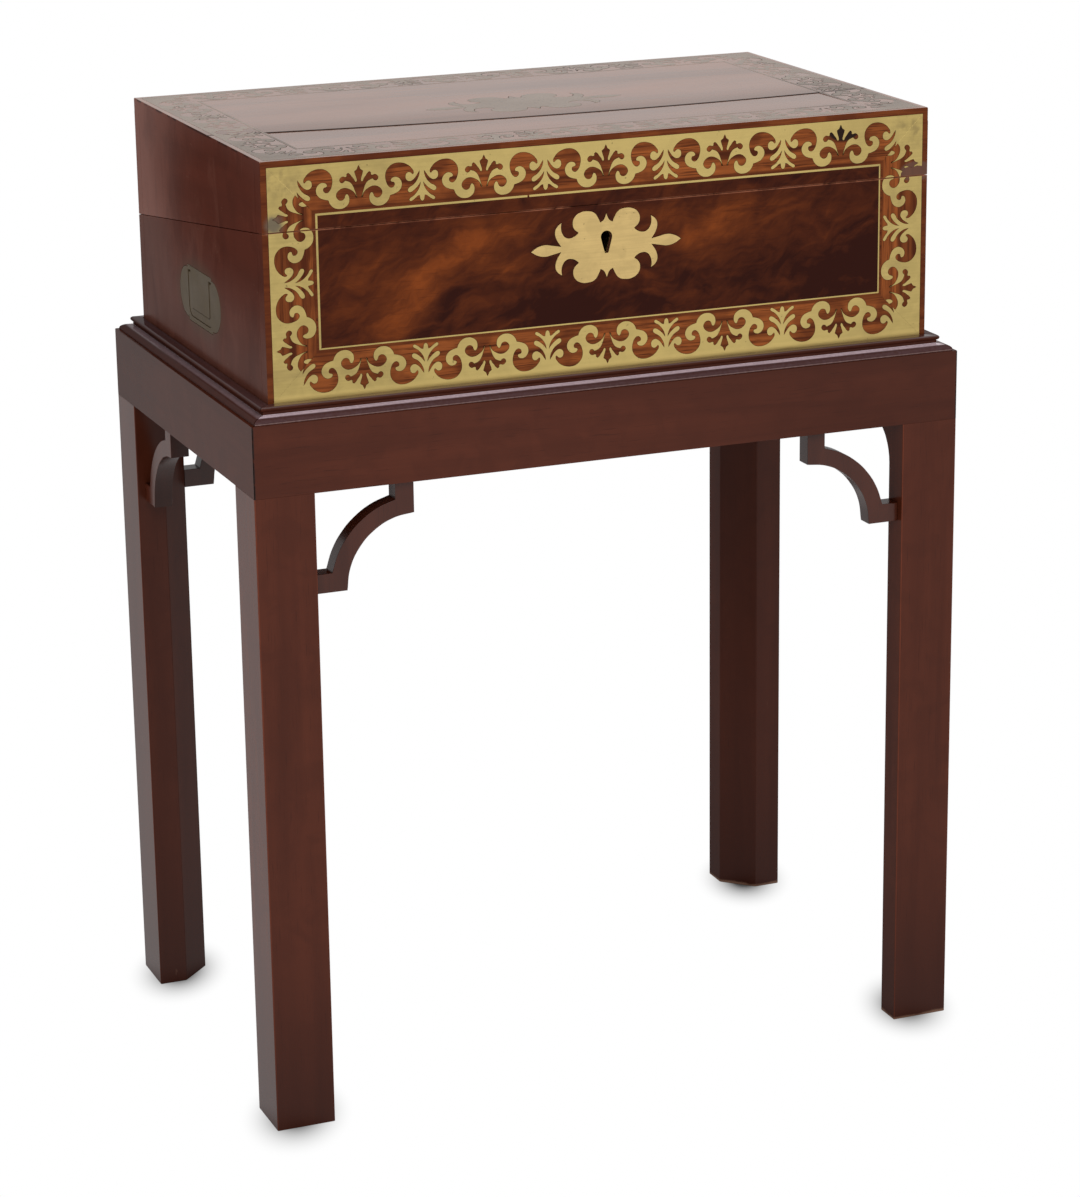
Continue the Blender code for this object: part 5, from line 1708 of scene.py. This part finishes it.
class LAPDESK_OT_stage(bpy.types.Operator):
    """White floor, soft light and the camera"""

    bl_idname = "lapdesk.stage"
    bl_label = "Stage"
    bl_options = {"REGISTER", "UNDO"}

    FLOOR_SIZE = 60.0
    FLOOR_GREY = (0.95, 0.95, 0.95)
    SHADE_GREY = (0.16, 0.16, 0.16)
    FOOT_SHADE = (0.043, 0.074, 1.0)
    SHADE_STRENGTH = 1.75
    LAMP_PLACE = (-0.5, -2.9, 2.6)
    LAMP_SIZE = (2.4, 1.8)
    LAMP_AIM = Vector((0.0, 0.0, 0.45))
    PICTURE_WIDTH = 36.0
    SIGHT = 100.0

    def execute(self, context):
        bpy.context.scene.view_settings.view_transform = "Standard"
        self.floor()
        self.light()
        self.camera()
        return {"FINISHED"}

    def floor(self):
        """A floor that is white away from the feet, with a painted shadow of dark grey round each foot."""
        bpy.ops.object.select_all(action="DESELECT")
        bpy.ops.mesh.primitive_plane_add(size=self.FLOOR_SIZE)
        made = renamed("floor")
        finish = Finish("white_floor")
        facing = (0.0, 0.0, -bpy.context.scene.lapdesk_stage.azimuth)
        near = 0.0
        for leg in LEGS:
            middle = middle_of(leg)
            shade = finish.spot((middle.x, middle.y, 0.0), self.FOOT_SHADE, facing)
            near = shade * shade * self.SHADE_STRENGTH + near
        pale = finish.node("ShaderNodeBsdfDiffuse", {}, {"Color": self.FLOOR_GREY})
        white = finish.node("ShaderNodeEmission", {}, {"Color": (1.0, 1.0, 1.0), "Strength": 1.0})
        plain = finish.node("ShaderNodeMixShader", {}, {0: finish.shown(), 1: pale, 2: white})
        painted_shadow = finish.node("ShaderNodeBsdfDiffuse", {}, {"Color": self.SHADE_GREY})
        mixed = finish.node("ShaderNodeMixShader", {}, {0: near, 1: plain, 2: painted_shadow})
        output = finish.tree.nodes["Material Output"]
        finish.feed(output.inputs["Surface"], mixed)
        finish.material.cycles.emission_sampling = "NONE"
        made.data.materials.append(finish.material)

    def light(self):
        """A white surround and one large soft lamp over the camera."""
        settings = bpy.context.scene.lapdesk_stage
        world = bpy.data.worlds.new("studio")
        world.use_nodes = True
        bpy.context.scene.world = world
        surround = Nodes(world.node_tree)
        background = world.node_tree.nodes["Background"]
        surround.feed(background.inputs["Color"], (1.0, 1.0, 1.0))
        surround.feed(background.inputs["Strength"], surround.shown() * (1.0 - settings.sky) + settings.sky)
        bpy.ops.object.select_all(action="DESELECT")
        bpy.ops.object.light_add(type="AREA", location=self.LAMP_PLACE)
        lamp = bpy.context.view_layer.objects.active
        lamp.name = "soft_lamp"
        lamp.data.shape = "RECTANGLE"
        lamp.data.size, lamp.data.size_y = self.LAMP_SIZE
        lamp.data.energy = settings.key
        aim = self.LAMP_AIM - lamp.location
        lamp.rotation_euler = aim.to_track_quat("-Z", "Y").to_euler()

    def camera(self):
        """The photograph's view."""
        settings = bpy.context.scene.lapdesk_stage
        bpy.ops.object.select_all(action="DESELECT")
        bpy.ops.object.camera_add()
        made = bpy.context.view_layer.objects.active
        made.name = "camera"
        turn = Matrix.Rotation(-settings.azimuth, 4, "Z")
        turn = turn @ Matrix.Rotation(math.pi / 2 - settings.elevation, 4, "X")
        turn = turn @ Matrix.Rotation(settings.roll, 4, "Z")
        made.matrix_world = Matrix.Translation(settings.camera_place) @ turn
        made.data.lens = settings.lens
        made.data.sensor_width = self.PICTURE_WIDTH
        made.data.clip_end = self.SIGHT
        bpy.context.scene.camera = made


OPERATORS = (
    LAPDESK_OT_stand,
    LAPDESK_OT_boards,
    LAPDESK_OT_border_wood,
    LAPDESK_OT_fretwork,
    LAPDESK_OT_lines,
    LAPDESK_OT_plates,
    LAPDESK_OT_handles,
    LAPDESK_OT_ironmongery,
    LAPDESK_OT_interior,
    LAPDESK_OT_stage,
)

GROUPS = {
    "lapdesk_sizes": LapdeskSizes,
    "lapdesk_colours": LapdeskColours,
    "lapdesk_stage": LapdeskStage,
}


class LAPDESK_PT_panel(bpy.types.Panel):
    """Steps and settings of the lap desk"""

    bl_idname = "LAPDESK_PT_panel"
    bl_label = "Lap desk"
    bl_space_type = "VIEW_3D"
    bl_region_type = "UI"
    bl_category = "Lap desk"

    def draw(self, context):
        for operator in OPERATORS:
            self.layout.operator(operator.bl_idname)
        for group in GROUPS:
            settings = getattr(context.scene, group)
            box = self.layout.box()
            for name in settings.bl_rna.properties.keys():
                if name not in ("rna_type", "name"):
                    box.prop(settings, name)


def register():
    """Add the settings, steps and panel to Blender."""
    for name, group in GROUPS.items():
        bpy.utils.register_class(group)
        setattr(bpy.types.Scene, name, PointerProperty(type=group))
    for operator in OPERATORS:
        bpy.utils.register_class(operator)
    bpy.utils.register_class(LAPDESK_PT_panel)


def unregister():
    """Take them away again."""
    bpy.utils.unregister_class(LAPDESK_PT_panel)
    for operator in reversed(OPERATORS):
        bpy.utils.unregister_class(operator)
    for name, group in GROUPS.items():
        delattr(bpy.types.Scene, name)
        bpy.utils.unregister_class(group)


def main():
    """Dress the whole desk."""
    register()
    for operator in OPERATORS:
        group, name = operator.bl_idname.split(".")
        getattr(getattr(bpy.ops, group), name)()


if __name__ == "__main__":
    main()
